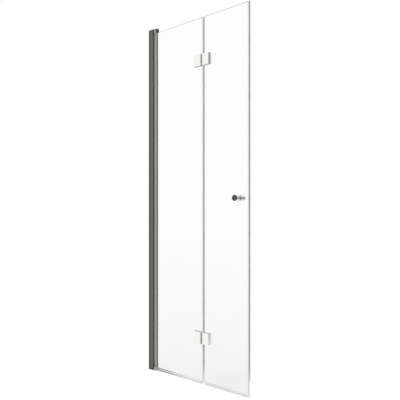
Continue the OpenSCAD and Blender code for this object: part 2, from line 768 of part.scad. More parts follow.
// Closing seal: legs on the glass and a flat-faced chamber that holds the magnet strip
module closing_seal() {
    edge = outer_glass_x1 + grip_gap;
    chamber_x0 = edge + seal_t;
    color(clear_seal) bar_z(2, glass_z1) difference() {
        union() {
            translate([edge - grip_depth, -seal_half]) square([grip_depth + seal_t, 2 * seal_half]);
            translate([edge, -closing_chamber_half])
                square([closing_x - edge, 2 * closing_chamber_half]);
        }
        translate([edge - grip_depth - 1, -grip_half]) square([grip_depth + 1, 2 * grip_half]);
        translate([chamber_x0, -closing_chamber_half + seal_t])
            square([closing_x - seal_t - chamber_x0, 2 * (closing_chamber_half - seal_t)]);
    }
}

module magnet_strip() {
    x0 = outer_glass_x1 + grip_gap + seal_t + magnet_gap;
    half = closing_chamber_half - seal_t - magnet_gap;
    color([0.45, 0.45, 0.45]) bar_z(magnet_rise, glass_z1 - 0.5)
        translate([x0, -half]) square([closing_x - seal_t - magnet_gap - x0, 2 * half]);
}

// ---------------------------------------------------------------- knobs

// Half outline of a knob, from the pad on the glass (height 0) to its dished face
module knob_outline() {
    h = knob_l - knob_pad_t;
    r = knob_d / 2;
    dish_r = 22;
    dish_h = 1.3;
    stud_reach = knob_stud_l / 2 - glass_t / 2 - knob_pad_t;
    difference() {
        union() {
            translate([0, 2]) square([r - 1, h - 2]);
            translate([0, 2.8]) square([r, h - 4]);
            square([r - 2.5, 3]);
            for (y = [3, h - 1.2]) translate([r - 1.2, y]) circle(1.2);
        }
        translate([0, h + dish_r - dish_h]) circle(dish_r);
        translate([-r, -1]) square([r, h + 3]);
        translate([-1, -1]) square([1 + knob_stud_d / 2 + press_gap, 1 + stud_reach + 0.5]);
    }
}

// side is -1 outside and 1 on the shower side
module knob(side) {
    translate([knob_x, side * (glass_t / 2 + knob_pad_t), knob_z])
        rotate([-side * 90, 0, 0]) rotate_extrude() knob_outline();
}

module outside_knob() {
    color(chrome) knob(-1);
}

module shower_side_knob() {
    color(chrome) difference() {
        knob(1);
        translate([knob_x, grub_y, knob_z - knob_d / 2 - 1])
            cylinder(r = grub_d / 2 + press_gap, h = knob_d / 2);
    }
}

module knob_stud() {
    color(steel) translate([knob_x, 0, knob_z]) rod_y(knob_stud_d / 2, -knob_stud_l / 2, knob_stud_l / 2);
}

// Two soft pads between knobs and glass, the outside one with a sleeve in the glass hole
module knob_pads() {
    color(black_plastic) translate([knob_x, 0, knob_z]) for (side = [-1, 1]) difference() {
        union() {
            rod_y(knob_d / 2 - 2.5, side < 0 ? -glass_t / 2 - knob_pad_t : glass_t / 2,
                side < 0 ? -glass_t / 2 : glass_t / 2 + knob_pad_t);
            if (side < 0) rod_y(knob_hole_d / 2 - 0.2, -glass_t / 2 - knob_pad_t / 2, glass_t / 2 - 0.1);
        }
        rod_y(knob_stud_d / 2 + 0.1, -knob_l, knob_l);
    }
}

module knob_grub_screw() {
    top_z = knob_z - knob_stud_d / 2 - 0.1;
    color(steel) translate([knob_x, grub_y, top_z - 6]) difference() {
        cylinder(r = grub_d / 2, h = 6);
        translate([0, 0, -1]) cylinder(r = 1.1, h = 3, $fn = 6);
    }
}

wall_channel();
frame_profile();
profile_top_cap();
profile_foot_cap();
adjusting_screws();
adjusting_screw_caps();
lip_seal();
top_bearing_cap();
bottom_bearing_cap();
bearing_screws();
top_bearing_bush();
bearing_cover();
lower_pivot_pin();
lift_cam();
upper_pivot_pin();
pivot_pin_clip();
pivot_profile();
upper_pivot_plug();
lower_pivot_plug();
clamp_gasket();
inner_glass();
inner_drip_seal();
fold_seal();
upper_hinge_inner_leaf();
upper_hinge_inner_pad();
upper_hinge_inner_discs();
upper_hinge_pin();
upper_hinge_washer();
upper_hinge_outer_leaf();
upper_hinge_outer_pad();
upper_hinge_outer_discs();
lower_hinge_inner_leaf();
lower_hinge_inner_pad();
lower_hinge_inner_discs();
lower_hinge_pin();
lower_hinge_washer();
lower_hinge_outer_leaf();
lower_hinge_outer_pad();
lower_hinge_outer_discs();
outer_glass();
outer_drip_seal();
closing_seal();
magnet_strip();
outside_knob();
shower_side_knob();
knob_stud();
knob_pads();
knob_grub_screw();
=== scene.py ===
"""Bifold shower door: the looks of its profiles, glass, hinges, seals and knobs around the fixed frame.

Lengths are in metres, and MM turns millimetres into metres. Only radii_mm and the relief of a finish are in
millimetres. X runs along the closed door, from the wall to the closing edge, -Y is outside, +Y the shower,
and Z is up from the tray.
"""

import json
import math

import bpy
import numpy as np
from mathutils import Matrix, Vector
from mathutils.geometry import tessellate_polygon


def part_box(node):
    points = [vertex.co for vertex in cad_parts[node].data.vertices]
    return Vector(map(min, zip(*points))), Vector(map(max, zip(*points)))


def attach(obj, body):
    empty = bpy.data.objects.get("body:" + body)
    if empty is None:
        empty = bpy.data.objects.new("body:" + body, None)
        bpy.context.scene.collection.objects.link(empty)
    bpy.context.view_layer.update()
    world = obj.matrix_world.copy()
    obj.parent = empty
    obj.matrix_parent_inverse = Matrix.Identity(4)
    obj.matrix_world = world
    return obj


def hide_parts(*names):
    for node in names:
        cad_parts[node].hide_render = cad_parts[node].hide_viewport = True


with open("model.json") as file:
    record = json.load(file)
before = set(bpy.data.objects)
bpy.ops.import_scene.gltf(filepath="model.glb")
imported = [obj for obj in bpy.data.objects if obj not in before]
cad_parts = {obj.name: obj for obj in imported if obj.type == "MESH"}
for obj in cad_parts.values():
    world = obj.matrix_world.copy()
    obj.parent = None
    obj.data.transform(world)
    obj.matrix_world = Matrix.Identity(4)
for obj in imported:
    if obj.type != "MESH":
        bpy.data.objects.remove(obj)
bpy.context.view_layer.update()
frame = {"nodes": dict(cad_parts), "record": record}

RECORD = frame["record"]
BODY_OF = {node: body for body, nodes in RECORD["behaviour"]["bodies"].items() for node in nodes}
MM = 0.001


def node_box(node):
    """The lowest and highest corners of a node as two arrays."""
    low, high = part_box(node)
    return np.array(low), np.array(high)


def node_middle(node):
    """The middle of a node's box."""
    return sum(node_box(node)) / 2


# ---------------------------------------------------------------- camera

CAMERA_PLACE = (2.2215, -2.1030, 0.8834)
CAMERA_TURN = math.radians(46.178)
CAMERA_LENS = 52.573
CAMERA_SHIFT_Y = 0.03325


def make_camera():
    """A level camera on the closing side of the door, outside, at the photograph's viewing angle."""
    data = bpy.data.cameras.new("camera")
    data.sensor_width = 36.0
    data.sensor_fit = "HORIZONTAL"
    data.lens = CAMERA_LENS
    data.shift_y = CAMERA_SHIFT_Y
    data.clip_start = 0.05
    camera = bpy.data.objects.new("camera", data)
    camera.location = CAMERA_PLACE
    camera.rotation_euler = (math.radians(90), 0, CAMERA_TURN)
    bpy.context.scene.collection.objects.link(camera)
    bpy.context.scene.camera = camera


# ---------------------------------------------------------------- shapes

# The two axes that an outline is drawn in, and the axis that it is carried along.
# An outline for "y" is drawn in X and Z, and turned over so that its inside stays on its left.
CARRIED = {"x": (1, 2, 0), "y": (2, 0, 1), "z": (0, 1, 2)}
# Points of an outline that are closer together than this are one point.
SAME_POINT = 1e-7
# Faces that meet at a larger angle than this have a crisp edge between them.
CRISP_ANGLE = math.radians(30)
# The upright edges of a soft box are this much rounder than the others, so that no arc shrinks to a point.
ARC_SPARE = 1.05


def rounded(points, radius, steps=4):
    """A closed outline, anticlockwise, whose corners are arcs.

    At a corner with unit edges u (arriving) and v (leaving) that turns by the angle T, the arc starts
    radius * tan(T / 2) before the corner, and its points are centre - radius * (cos f * m - sin f * u) for f
    from 0 to T, where m is the unit vector from the arc's start to its centre.
    """
    points = np.asarray(points, float)
    radius = np.broadcast_to(np.asarray(radius, float), len(points))[:, None]
    arriving = points - np.roll(points, 1, 0)
    arriving /= np.linalg.norm(arriving, axis=1, keepdims=True)
    leaving = np.roll(arriving, -1, 0)
    cross = arriving[:, 0] * leaving[:, 1] - arriving[:, 1] * leaving[:, 0]
    turn = np.arctan2(np.abs(cross), (arriving * leaving).sum(1))[:, None]
    to_centre = np.sign(cross)[:, None] * np.stack([-arriving[:, 1], arriving[:, 0]], 1)
    start = points - radius * np.tan(turn / 2) * arriving
    centre = (start + radius * to_centre)[:, None, :]
    f = (turn * np.linspace(0, 1, steps + 1))[:, :, None]
    arcs = centre - radius[:, :, None] * (np.cos(f) * to_centre[:, None] - np.sin(f) * arriving[:, None])
    outline = arcs.reshape(-1, 2)
    apart = np.linalg.norm(outline - np.roll(outline, 1, 0), axis=1) > SAME_POINT
    return outline[apart]


def both_sides(half_outline, radii_mm):
    """An outline that is the same on both sides of Y = 0: one half, and its mirror image in reverse."""
    points, radii = np.array(half_outline, float), np.array(radii_mm, float) * MM
    return rounded(np.concatenate([points, points[::-1] * (1, -1)]), np.concatenate([radii, radii[::-1]]))


def rectangle(low, high, radius):
    """A rectangle between two corners, with round corners."""
    return rounded([low, (high[0], low[1]), high, (low[0], high[1])], radius)


def circle(centre, radius, steps=48):
    """A circle, anticlockwise."""
    f = np.arange(steps) * 2 * math.pi / steps
    return np.asarray(centre, float) + radius * np.stack([np.cos(f), np.sin(f)], 1)


def arc(centre, radius, start, end, steps=24):
    """Points on a circle from one angle in degrees to another."""
    f = np.radians(np.linspace(start, end, steps + 1))
    return np.asarray(centre, float) + radius * np.stack([np.cos(f), np.sin(f)], 1)


def shrink(outline, inset):
    """Moves every point of a closed outline to its left by inset, along the mitre of its two edges."""
    leaving = np.roll(outline, -1, 0) - outline
    leaving /= np.linalg.norm(leaving, axis=1, keepdims=True)
    left = np.stack([-leaving[:, 1], leaving[:, 0]], 1)
    left_before = np.roll(left, 1, 0)
    return outline + inset * (left + left_before) / (1 + (left * left_before).sum(1, keepdims=True))


def round_levels(low, high, radius, steps=3):
    """Heights and insets that carry an outline from low to high with both its end edges rounded."""
    f = np.linspace(0, math.pi / 2, steps + 1)
    height = radius * (1 - np.cos(f))
    inset = radius * (1 - np.sin(f))
    below = np.stack([low + height, inset], 1)
    above = np.stack([high - height, inset], 1)[::-1]
    return np.concatenate([below, above])


def filled(rings, indices, upwards):
    """Triangles over the area between the first ring and the others, facing up or down."""
    flat = np.concatenate(rings)
    triangles = np.array(tessellate_polygon([[Vector((a, b, 0)) for a, b in ring] for ring in rings]))
    a, b, c = (flat[triangles[:, k]] for k in range(3))
    area = (b - a)[:, 0] * (c - a)[:, 1] - (b - a)[:, 1] * (c - a)[:, 0]
    wrong = (area > 0) != upwards
    triangles[wrong] = triangles[wrong][:, ::-1]
    return np.concatenate(indices)[triangles]


def walls(grid):
    """Quads between the rows of a grid of point numbers whose columns close into a ring."""
    ahead = np.roll(grid, -1, 1)
    return np.stack([grid[:-1], ahead[:-1], ahead[1:], grid[1:]], 2).reshape(-1, 4)


def carried(along, outline, levels, holes=()):
    """A closed solid: an outline carried along an axis through levels of (height, inset).

    holes holds (outline, levels, blind) for each hole. A blind hole starts on its own floor, above the lower
    end of the solid. Insets take from the solid, so at a hole they make the hole wider.
    """
    vertices, faces, lower, upper = [], [], [], []
    count = 0
    for number, (ring, steps, blind) in enumerate([(outline, levels, False), *holes]):
        ring = np.asarray(ring, float)
        if number:
            ring = ring[::-1]
        if along == "y":
            ring = ring[::-1, ::-1]
        steps = np.asarray(steps, float)
        rows = np.stack([shrink(ring, inset) for inset in steps[:, 1]])
        grid = count + np.arange(rows[..., 0].size).reshape(len(steps), len(ring))
        place = np.empty(rows.shape[:2] + (3,))
        first, second, height = CARRIED[along]
        place[..., first], place[..., second] = rows[..., 0], rows[..., 1]
        place[..., height] = steps[:, :1]
        vertices.append(place.reshape(-1, 3))
        faces += walls(grid).tolist()
        if blind:
            faces += filled([rows[0][::-1]], [grid[0][::-1]], True).tolist()
        else:
            lower.append((rows[0], grid[0]))
        upper.append((rows[-1], grid[-1]))
        count += rows[..., 0].size
    faces += filled(*zip(*lower), False).tolist()
    faces += filled(*zip(*upper), True).tolist()
    return np.concatenate(vertices), faces


def turned(along, centre, profile, closed=False, steps=64):
    """A solid of revolution: a profile of (radius, height) turned about an axis through centre.

    The profile runs anticlockwise with the radius to the right and the height upwards. It is a closed ring,
    or it starts and ends on the axis, where each end becomes a single pole.
    """
    profile = np.asarray(profile, float)
    body = profile if closed else profile[1:-1]
    f = np.arange(steps) * 2 * math.pi / steps
    first, second, height = CARRIED[along]
    place = np.empty((len(body), steps, 3))
    place[..., first] = centre[first] + body[:, :1] * np.cos(f)
    place[..., second] = centre[second] + body[:, :1] * np.sin(f)
    place[..., height] = centre[height] + body[:, 1:]
    grid = np.arange(len(body) * steps).reshape(len(body), steps)
    vertices = place.reshape(-1, 3)
    if closed:
        return vertices, walls(np.vstack([grid, grid[:1]])).tolist()
    poles = np.tile(np.asarray(centre, float), (2, 1))
    poles[:, height] += profile[[0, -1], 1]
    bottom, top = len(vertices), len(vertices) + 1
    ring, after = grid[0], np.roll(grid[0], -1)
    last, last_after = grid[-1], np.roll(grid[-1], -1)
    fans = np.concatenate([
        np.stack([np.full(steps, bottom), after, ring], 1),
        np.stack([np.full(steps, top), last, last_after], 1),
    ])
    return np.concatenate([vertices, poles]), walls(grid).tolist() + fans.tolist()


def soft_box(low, high, edge):
    """A box between two corners with every edge rounded."""
    outline = rectangle(low[:2], high[:2], edge * ARC_SPARE)
    return carried("z", outline, round_levels(low[2], high[2], edge))


def bar(along, outline, start, end, chamfer=0.2 * MM, holes=()):
    """An extrusion with its two cut ends slightly broken. holes are outlines that run right through."""
    levels = [(start, chamfer), (start + chamfer, 0), (end - chamfer, 0), (end, chamfer)]
    return carried(along, outline, levels, [(hole, levels, False) for hole in holes])


def piece(node, shells, materials):
    """One object made of closed shells, which stands for a node and rides on its body."""
    vertices, faces, count = [], [], 0
    for points, sides in shells:
        vertices.append(points)
        faces += [[count + corner for corner in side] for side in sides]
        count += len(points)
    mesh = bpy.data.meshes.new(node + "_shape")
    mesh.from_pydata(np.concatenate(vertices).tolist(), [], faces)
    mesh.validate()
    mesh.polygons.foreach_set("use_smooth", np.ones(len(mesh.polygons), bool))
    mesh.set_sharp_from_angle(angle=CRISP_ANGLE)
    for material in [materials] if isinstance(materials, bpy.types.Material) else materials:
        mesh.materials.append(material)
    thing = bpy.data.objects.new(node + "_shape", mesh)
    bpy.context.scene.collection.objects.link(thing)
    shading = thing.modifiers.new("even shading", "WEIGHTED_NORMAL")
    shading.keep_sharp = True
    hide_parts(node)
    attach(thing, BODY_OF[node])
    return thing


def take_away(thing, shell):
    """Cuts a closed shell's shape out of a piece, such as a hole that goes in through its round side."""
    cutter_mesh = bpy.data.meshes.new("cutter")
    cutter_mesh.from_pydata(np.asarray(shell[0]).tolist(), [], shell[1])
    cutter = bpy.data.objects.new("cutter", cutter_mesh)
    bpy.context.scene.collection.objects.link(cutter)
    shading = thing.modifiers["even shading"]
    shading.show_viewport = False
    cut = thing.modifiers.new("cut", "BOOLEAN")
    cut.operation, cut.solver, cut.object = "DIFFERENCE", "EXACT", cutter
    bpy.context.view_layer.update()
    finished = thing.evaluated_get(bpy.context.evaluated_depsgraph_get())
    plain, mesh = thing.data, bpy.data.meshes.new_from_object(finished)
    thing.modifiers.remove(cut)
    shading.show_viewport = True
    thing.data = mesh
    mesh.name = plain.name
    mesh.set_sharp_from_angle(angle=CRISP_ANGLE)
    bpy.data.meshes.remove(plain)
    bpy.data.objects.remove(cutter)
    bpy.data.meshes.remove(cutter_mesh)


def paint(thing, is_second):
    """Gives the faces whose middles pass is_second(x, y, z, normal) the second material."""
    mesh = thing.data
    middle, normal = np.empty((2, len(mesh.polygons) * 3))
    mesh.polygons.foreach_get("center", middle)
    mesh.polygons.foreach_get("normal", normal)
    chosen = is_second(*middle.reshape(-1, 3).T, normal.reshape(-1, 3))
    mesh.polygons.foreach_set("material_index", chosen.astype(np.int32))


# ---------------------------------------------------------------- effects


def feed(tree, socket, value):
    """Links another node's output to an input, or sets the input to a plain value."""
    if isinstance(value, bpy.types.NodeSocket):
        tree.links.new(value, socket)
    else:
        socket.default_value = value


def add(tree, kind, **settings):
    """A node of that kind. A setting that names an input feeds it, and any other is an option of the node.

    An underscore in a setting stands for the space in an input's name.
    """
    node = tree.nodes.new(kind)
    for name, value in settings.items():
        label = name.replace("_", " ")
        if label in node.inputs:
            feed(tree, node.inputs[label], value)
        else:
            setattr(node, name, value)
    return node


def noise(tree, place, scale, detail, roughness=0.5):
    """A soft random pattern from 0 to 1."""
    node = add(tree, "ShaderNodeTexNoise", Vector=place, Scale=scale, Detail=detail, Roughness=roughness)
    return node.outputs[0]


def calc(tree, operation, first, second=0.0):
    """One step of arithmetic on numbers or sockets."""
    node = add(tree, "ShaderNodeMath", operation=operation)
    for socket, value in zip(node.inputs, (first, second)):
        feed(tree, socket, value)
    return node.outputs[0]


def times(tree, first, second):
    """The product of two numbers or sockets."""
    return calc(tree, "MULTIPLY", first, second)


def shift(tree, value, low, high):
    """A value from 0 to 1 spread from low to high."""
    return add(tree, "ShaderNodeMapRange", Value=value, To_Min=low, To_Max=high).outputs["Result"]


def around_one(tree, value, contrast):
    """A value from 0 to 1 spread from 1 - contrast to 1 + contrast."""
    return shift(tree, value, calc(tree, "SUBTRACT", 1.0, contrast), calc(tree, "ADD", 1.0, contrast))


def smooth(tree, value, start, end):
    """0 on one side of start, 1 on the other side of end, and an S-curve between them."""
    curve = {"interpolation_type": "SMOOTHSTEP", "From_Min": start, "From_Max": end}
    return add(tree, "ShaderNodeMapRange", Value=value, **curve).outputs["Result"]


def blend(tree, factor, first, second):
    """A colour that goes from first to second with a factor from 0 to 1."""
    mix = add(tree, "ShaderNodeMix", data_type="RGBA")
    colour_inputs, colour_output = mix.inputs[6:8], mix.outputs[2]
    for socket, value in zip((mix.inputs[0], *colour_inputs), (factor, first, second)):
        tree.links.new(value, socket)
    return colour_output


def blend_shaders(tree, factor, first, second):
    """The first shader where the factor is 0, and the second where it is 1."""
    mix = tree.nodes.new("ShaderNodeMixShader")
    for socket, value in zip(mix.inputs, (factor, first, second)):
        tree.links.new(value, socket)
    return mix.outputs[0]


def axes(tree, vector):
    """The X, Y and Z of a vector as three sockets."""
    return add(tree, "ShaderNodeSeparateXYZ", Vector=vector).outputs


def shade(tree, colour, factor):
    """A colour made lighter or darker by a factor."""
    return add(tree, "ShaderNodeVectorMath", operation="SCALE", Vector=colour, Scale=factor).outputs[0]


def new_effect(name, inputs):
    """An empty shader node group. Returns it, its inputs' sockets, and the place on the piece."""
    group = bpy.data.node_groups.new(name, "ShaderNodeTree")
    for label, value in inputs.items():
        kind = "NodeSocketColor" if isinstance(value, tuple) else "NodeSocketFloat"
        group.interface.new_socket(label, in_out="INPUT", socket_type=kind).default_value = value
    for label, kind in (("Colour", "Color"), ("Roughness", "Float"), ("Height", "Float")):
        group.interface.new_socket(label, in_out="OUTPUT", socket_type="NodeSocket" + kind)
    given = add(group, "NodeGroupInput").outputs
    return group, given, add(group, "ShaderNodeTexCoord").outputs["Object"]


def put_out(group, colour, roughness, height):
    """Gives a group its outputs: a colour, a roughness and the height of a relief. Returns the group."""
    result = group.nodes.new("NodeGroupOutput")
    for socket, value in zip(result.inputs, (colour, roughness, height)):
        group.links.new(value, socket)
    return group


def make_drawn_metal():
    """Metal drawn through a die: fine lines along Z over broad soft clouds of tone."""
    group, given, place = new_effect(
        "drawn_metal",
        {"Colour": (0.5, 0.5, 0.5, 1.0), "Roughness": 0.3, "Contrast": 0.1, "Line scale": 900.0},
    )
    along = add(group, "ShaderNodeMapping", Vector=place, Scale=(1.0, 1.0, 0.004)).outputs[0]
    lines = noise(group, along, given["Line scale"], 4.0)
    clouds = noise(group, place, 9.0, 5.0, 0.6)
    tone = times(group, calc(group, "ADD", lines, clouds), 0.5)
    factor = around_one(group, tone, given["Contrast"])
    roughness = times(group, given["Roughness"], factor)
    return put_out(group, shade(group, given["Colour"], factor), roughness, lines)


def make_handled_polish():
    """A polished surface that hands and water touched: hazy patches, faint wipe marks and fine scratches."""
    group, given, place = new_effect(
        "handled_polish", {"Colour": (0.9, 0.9, 0.9, 1.0), "Roughness": 0.05, "Haze": 0.06}
    )
    scale, turn = (40.0, 40.0, 700.0), (0.0, 0.35, 0.0)
    wiped = add(group, "ShaderNodeMapping", Vector=place, Scale=scale, Rotation=turn).outputs[0]
    wipes = noise(group, wiped, 1.0, 3.0)
    mask = times(group, noise(group, place, 45.0, 4.0, 0.55), wipes)
    colour = shade(group, given["Colour"], shift(group, mask, 1.0, 0.96))
    roughness = calc(group, "ADD", given["Roughness"], times(group, mask, given["Haze"]))
    return put_out(group, colour, roughness, wipes)


# The fold's grey line gets paler from the first height down to the second.
SEAM_FADE, SEAM_FOOT = 125 * MM, 0.0
# An edge is shaded fully within the second distance from it, and not at all past the first.
EDGE_BAND = 3 * MM, 1 * MM
# The drip strips' painted shade is weakest up to the first X, and strongest from the second, near the pivot.
DRIP_FADE = -50 * MM, -310 * MM


def make_ground_edge():
    """The satin ground edge of a pane, with painted shade along its upper edge and where it stands in the
    fold.
    """
    group, given, place = new_effect(
        "ground_edge",
        {"Colour": (0.9, 0.94, 0.92, 1.0), "Shaded colour": (0.6, 0.62, 0.61, 1.0), "Roughness": 0.3,
         "Upper edge": 1.9, "Fold edge": 0.06},
    )
    x, _, z = axes(group, place)
    # Painted shade along the upper edge and along the edge that stands in the fold.
    upper = smooth(group, calc(group, "SUBTRACT", given["Upper edge"], z), *EDGE_BAND)
    aside = calc(group, "ABSOLUTE", calc(group, "SUBTRACT", x, given["Fold edge"]))
    fold = times(group, smooth(group, aside, *EDGE_BAND), smooth(group, z, SEAM_FOOT, SEAM_FADE))
    colour = blend(group, calc(group, "MAXIMUM", upper, fold), given["Colour"], given["Shaded colour"])
    ground = noise(group, place, 900.0, 3.0)
    return put_out(group, colour, times(group, given["Roughness"], around_one(group, ground, 0.06)), ground)


def make_moulded():
    """Moulded plastic or rubber: a fine grain with slow changes of tone."""
    group, given, place = new_effect(
        "moulded", {"Colour": (0.1, 0.1, 0.1, 1.0), "Roughness": 0.5, "Contrast": 0.12, "Grain scale": 1400.0}
    )
    factor = around_one(group, noise(group, place, 30.0, 4.0), given["Contrast"])
    grain = noise(group, place, given["Grain scale"], 3.0)
    roughness = times(group, given["Roughness"], factor)
    return put_out(group, shade(group, given["Colour"], factor), roughness, grain)


def make_fading():
    """Moulded plastic that gets paler towards its foot."""
    group, given, place = new_effect(
        "fading",
        {"Colour": (0.5, 0.5, 0.5, 1.0), "Foot colour": (0.9, 0.9, 0.9, 1.0), "Fade top": 0.1,
         "Fade foot": 0.0, "Roughness": 0.5, "Contrast": 0.05},
    )
    fade = smooth(group, axes(group, place)["Z"], given["Fade top"], given["Fade foot"])
    plastic = add(group, "ShaderNodeGroup", node_tree=moulded)
    feed(group, plastic.inputs["Colour"], blend(group, fade, given["Colour"], given["Foot colour"]))
    for label in ("Roughness", "Contrast"):
        feed(group, plastic.inputs[label], given[label])
    return put_out(group, *plastic.outputs)


def make_drip_strip():
    """Clear strip with painted shade: grey lines on the tops of its legs and its wiper, stronger towards the
    pivot.

    Away from the pivot the upper line keeps 0.12 of its strength, the lower one 0.34, and the sides none.
    """
    group, given, place = new_effect(
        "drip_strip",
        {"Colour": (0.96, 0.96, 0.96, 1.0), "Line colour": (0.6, 0.6, 0.6, 1.0), "Roughness": 0.1,
         "Leg top": 0.017, "Strength": 0.9},
    )
    x, _, z = axes(group, place)
    below_top = calc(group, "SUBTRACT", given["Leg top"], z)
    near = smooth(group, x, *DRIP_FADE)
    # Painted shade: grey lines along the legs' tops and low on the wiper, with a faint grey on the sides near
    # the pivot.
    top = times(group, smooth(group, below_top, 4.2 * MM, 1.4 * MM), shift(group, near, 0.12, 1.0))
    foot = times(group, smooth(group, z, 8.5 * MM, 4.0 * MM), shift(group, near, 0.34, 1.0))
    sides = times(group, near, 0.09)
    clouds = noise(group, place, 60.0, 4.0)
    uneven = around_one(group, clouds, 0.15)
    painted_shade = times(group, calc(group, "MAXIMUM", calc(group, "MAXIMUM", top, foot), sides), uneven)
    colour = blend(group, times(group, painted_shade, given["Strength"]), given["Colour"], given["Line colour"])
    return put_out(group, colour, times(group, given["Roughness"], uneven), clouds)


# ---------------------------------------------------------------- finishes


def surface(name, effect, relief, colour, roughness, shader=None, **settings):
    """A material: a Principled shader with colour, roughness and relief from one effect.

    relief is the strength of the bump and its height in millimetres. shader holds the shader's own values,
    and the settings are those of the effect, with underscores for the spaces in their names.
    """
    material = bpy.data.materials.new(name)
    material.use_nodes = True
    tree = material.node_tree
    principled = tree.nodes["Principled BSDF"]
    group = add(tree, "ShaderNodeGroup", node_tree=effect)
    for label, value in {"Colour": colour, "Roughness": roughness, **settings}.items():
        value = (*value, 1.0) if isinstance(value, tuple) else value
        group.inputs[label.replace("_", " ")].default_value = value
    strength, depth = relief
    height = group.outputs["Height"]
    bump = add(tree, "ShaderNodeBump", Strength=strength, Distance=depth * MM, Height=height)
    tree.links.new(group.outputs["Colour"], principled.inputs["Base Color"])
    tree.links.new(group.outputs["Roughness"], principled.inputs["Roughness"])
    tree.links.new(bump.outputs["Normal"], principled.inputs["Normal"])
    for label, value in (shader or {}).items():
        principled.inputs[label].default_value = value
    return material


def let_lamps_through(material, tint):
    """Rays from lamps pass a clear material with a tint, so that its shadow is light and not black."""
    tree = material.node_tree
    clear = add(tree, "ShaderNodeBsdfTransparent", Color=(*tint, 1.0)).outputs[0]
    shadow_ray = add(tree, "ShaderNodeLightPath").outputs["Is Shadow Ray"]
    shader = blend_shaders(tree, shadow_ray, tree.nodes["Principled BSDF"].outputs[0], clear)
    tree.links.new(shader, tree.nodes["Material Output"].inputs["Surface"])


drawn_metal = make_drawn_metal()
handled_polish = make_handled_polish()
moulded = make_moulded()
ground_edge = make_ground_edge()
drip_strip = make_drip_strip()
fading = make_fading()

dark_profile_metal = surface(
    "dark_profile_metal", drawn_metal, (0.03, 0.01), (0.095, 0.088, 0.073), 0.50, {"Metallic": 0.1},
    Contrast=0.09,
)
# The channel is far darker than the frame profile: partly its own darker finish, partly painted shade of its
# recess.
channel_metal = surface(
    "channel_metal", drawn_metal, (0.03, 0.01), (0.020, 0.018, 0.016), 0.54, {"Metallic": 0.1}, Contrast=0.09
)
pivot_metal = surface(
    "pivot_metal", drawn_metal, (0.02, 0.01), (0.272, 0.268, 0.250), 0.42, {"Metallic": 0.3}, Contrast=0.06
)
bearing_cap_metal = surface(
    "bearing_cap_metal", moulded, (0.06, 0.02), (0.36, 0.36, 0.348), 0.20, {"Metallic": 0.9}, Contrast=0.06
)
chrome = surface(
    "chrome", handled_polish, (0.01, 0.01), (0.962, 0.958, 0.938), 0.025, {"Metallic": 1.0}, Haze=0.05
)
knuckle_metal = surface(
    "knuckle_metal", drawn_metal, (0.02, 0.01), (0.56, 0.555, 0.535), 0.34, {"Metallic": 0.75}, Contrast=0.05
)
knob_cap_metal = surface(
    "knob_cap_metal", handled_polish, (0.01, 0.01), (0.088, 0.088, 0.088), 0.10, {"Metallic": 1.0}, Haze=0.10
)
turned_steel = surface(
    "turned_steel", handled_polish, (0.04, 0.02), (0.60, 0.61, 0.61), 0.20, {"Metallic": 1.0}, Haze=0.20
)
soft_grey = surface("soft_grey", moulded, (0.2, 0.05), (0.120, 0.118, 0.114), 0.60)
soft_black = surface("soft_black", moulded, (0.2, 0.05), (0.045, 0.045, 0.044), 0.62)
# The dark cap plastic also serves as painted shade on the top bearing cap's side towards the glass.
cap_plastic_and_painted_shade = surface("cap_plastic_and_painted_shade", moulded, (0.25, 0.06), (0.024, 0.023, 0.022), 0.48)
bearing_plastic = surface("bearing_plastic", moulded, (0.1, 0.03), (0.72, 0.72, 0.69), 0.38, Contrast=0.03)
magnet_strip_material = surface(
    "magnet_strip_material", fading, (0.2, 0.05), (0.28, 0.28, 0.28), 0.55,
    Contrast=0.12, Foot_colour=(0.80, 0.80, 0.80), Fade_top=165 * MM, Fade_foot=75 * MM,
)
magnet_carrier_plastic = surface(
    "magnet_carrier_plastic", moulded, (0.1, 0.03), (0.97, 0.97, 0.96), 0.40, Contrast=0.02
)
clear_seal = surface(
    "clear_seal", moulded, (0.02, 0.01), (0.990, 0.992, 0.988), 0.05,
    {"Transmission Weight": 1.0, "IOR": 1.16}, Contrast=0.01, Grain_scale=500.0,
)
milky_seal = surface(
    "milky_seal", fading, (0.05, 0.02), (0.58, 0.553, 0.561), 0.32, {"Transmission Weight": 0.1, "IOR": 1.45},
    Foot_colour=(0.97, 0.97, 0.965), Fade_top=SEAM_FADE, Fade_foot=SEAM_FOOT,
)
# Its grey lines are painted shade along the legs' tops and the wiper.
drip_seal_plastic = surface(
    "drip_seal_plastic", drip_strip, (0.02, 0.01), (0.995, 0.995, 0.99), 0.06,
    {"Transmission Weight": 1.0, "IOR": 1.18}, Line_colour=(0.17, 0.14, 0.13),
)
glass_face = surface(
    "glass_face", handled_polish, (0.0, 0.01), (0.993, 0.997, 0.995), 0.0,
    {"Transmission Weight": 1.0, "IOR": 1.5}, Haze=0.01,
)
# The glass edge's shaded colour is painted shade along the panes' upper edges and the fold.
glass_edge = surface(
    "glass_edge", ground_edge, (0.03, 0.02), (0.94, 0.965, 0.955), 0.32,
    {"Transmission Weight": 0.35, "IOR": 1.5}, Shaded_colour=(0.20, 0.205, 0.20),
    Upper_edge=node_box("inner_glass")[1][2], Fold_edge=node_box("outer_glass")[0][0],
)
let_lamps_through(clear_seal, (0.96, 0.96, 0.955))
let_lamps_through(drip_seal_plastic, (0.92, 0.92, 0.91))
let_lamps_through(glass_face, (0.97, 0.98, 0.975))
let_lamps_through(glass_edge, (0.85, 0.90, 0.88))


# ---------------------------------------------------------------- sizes shared by the pieces

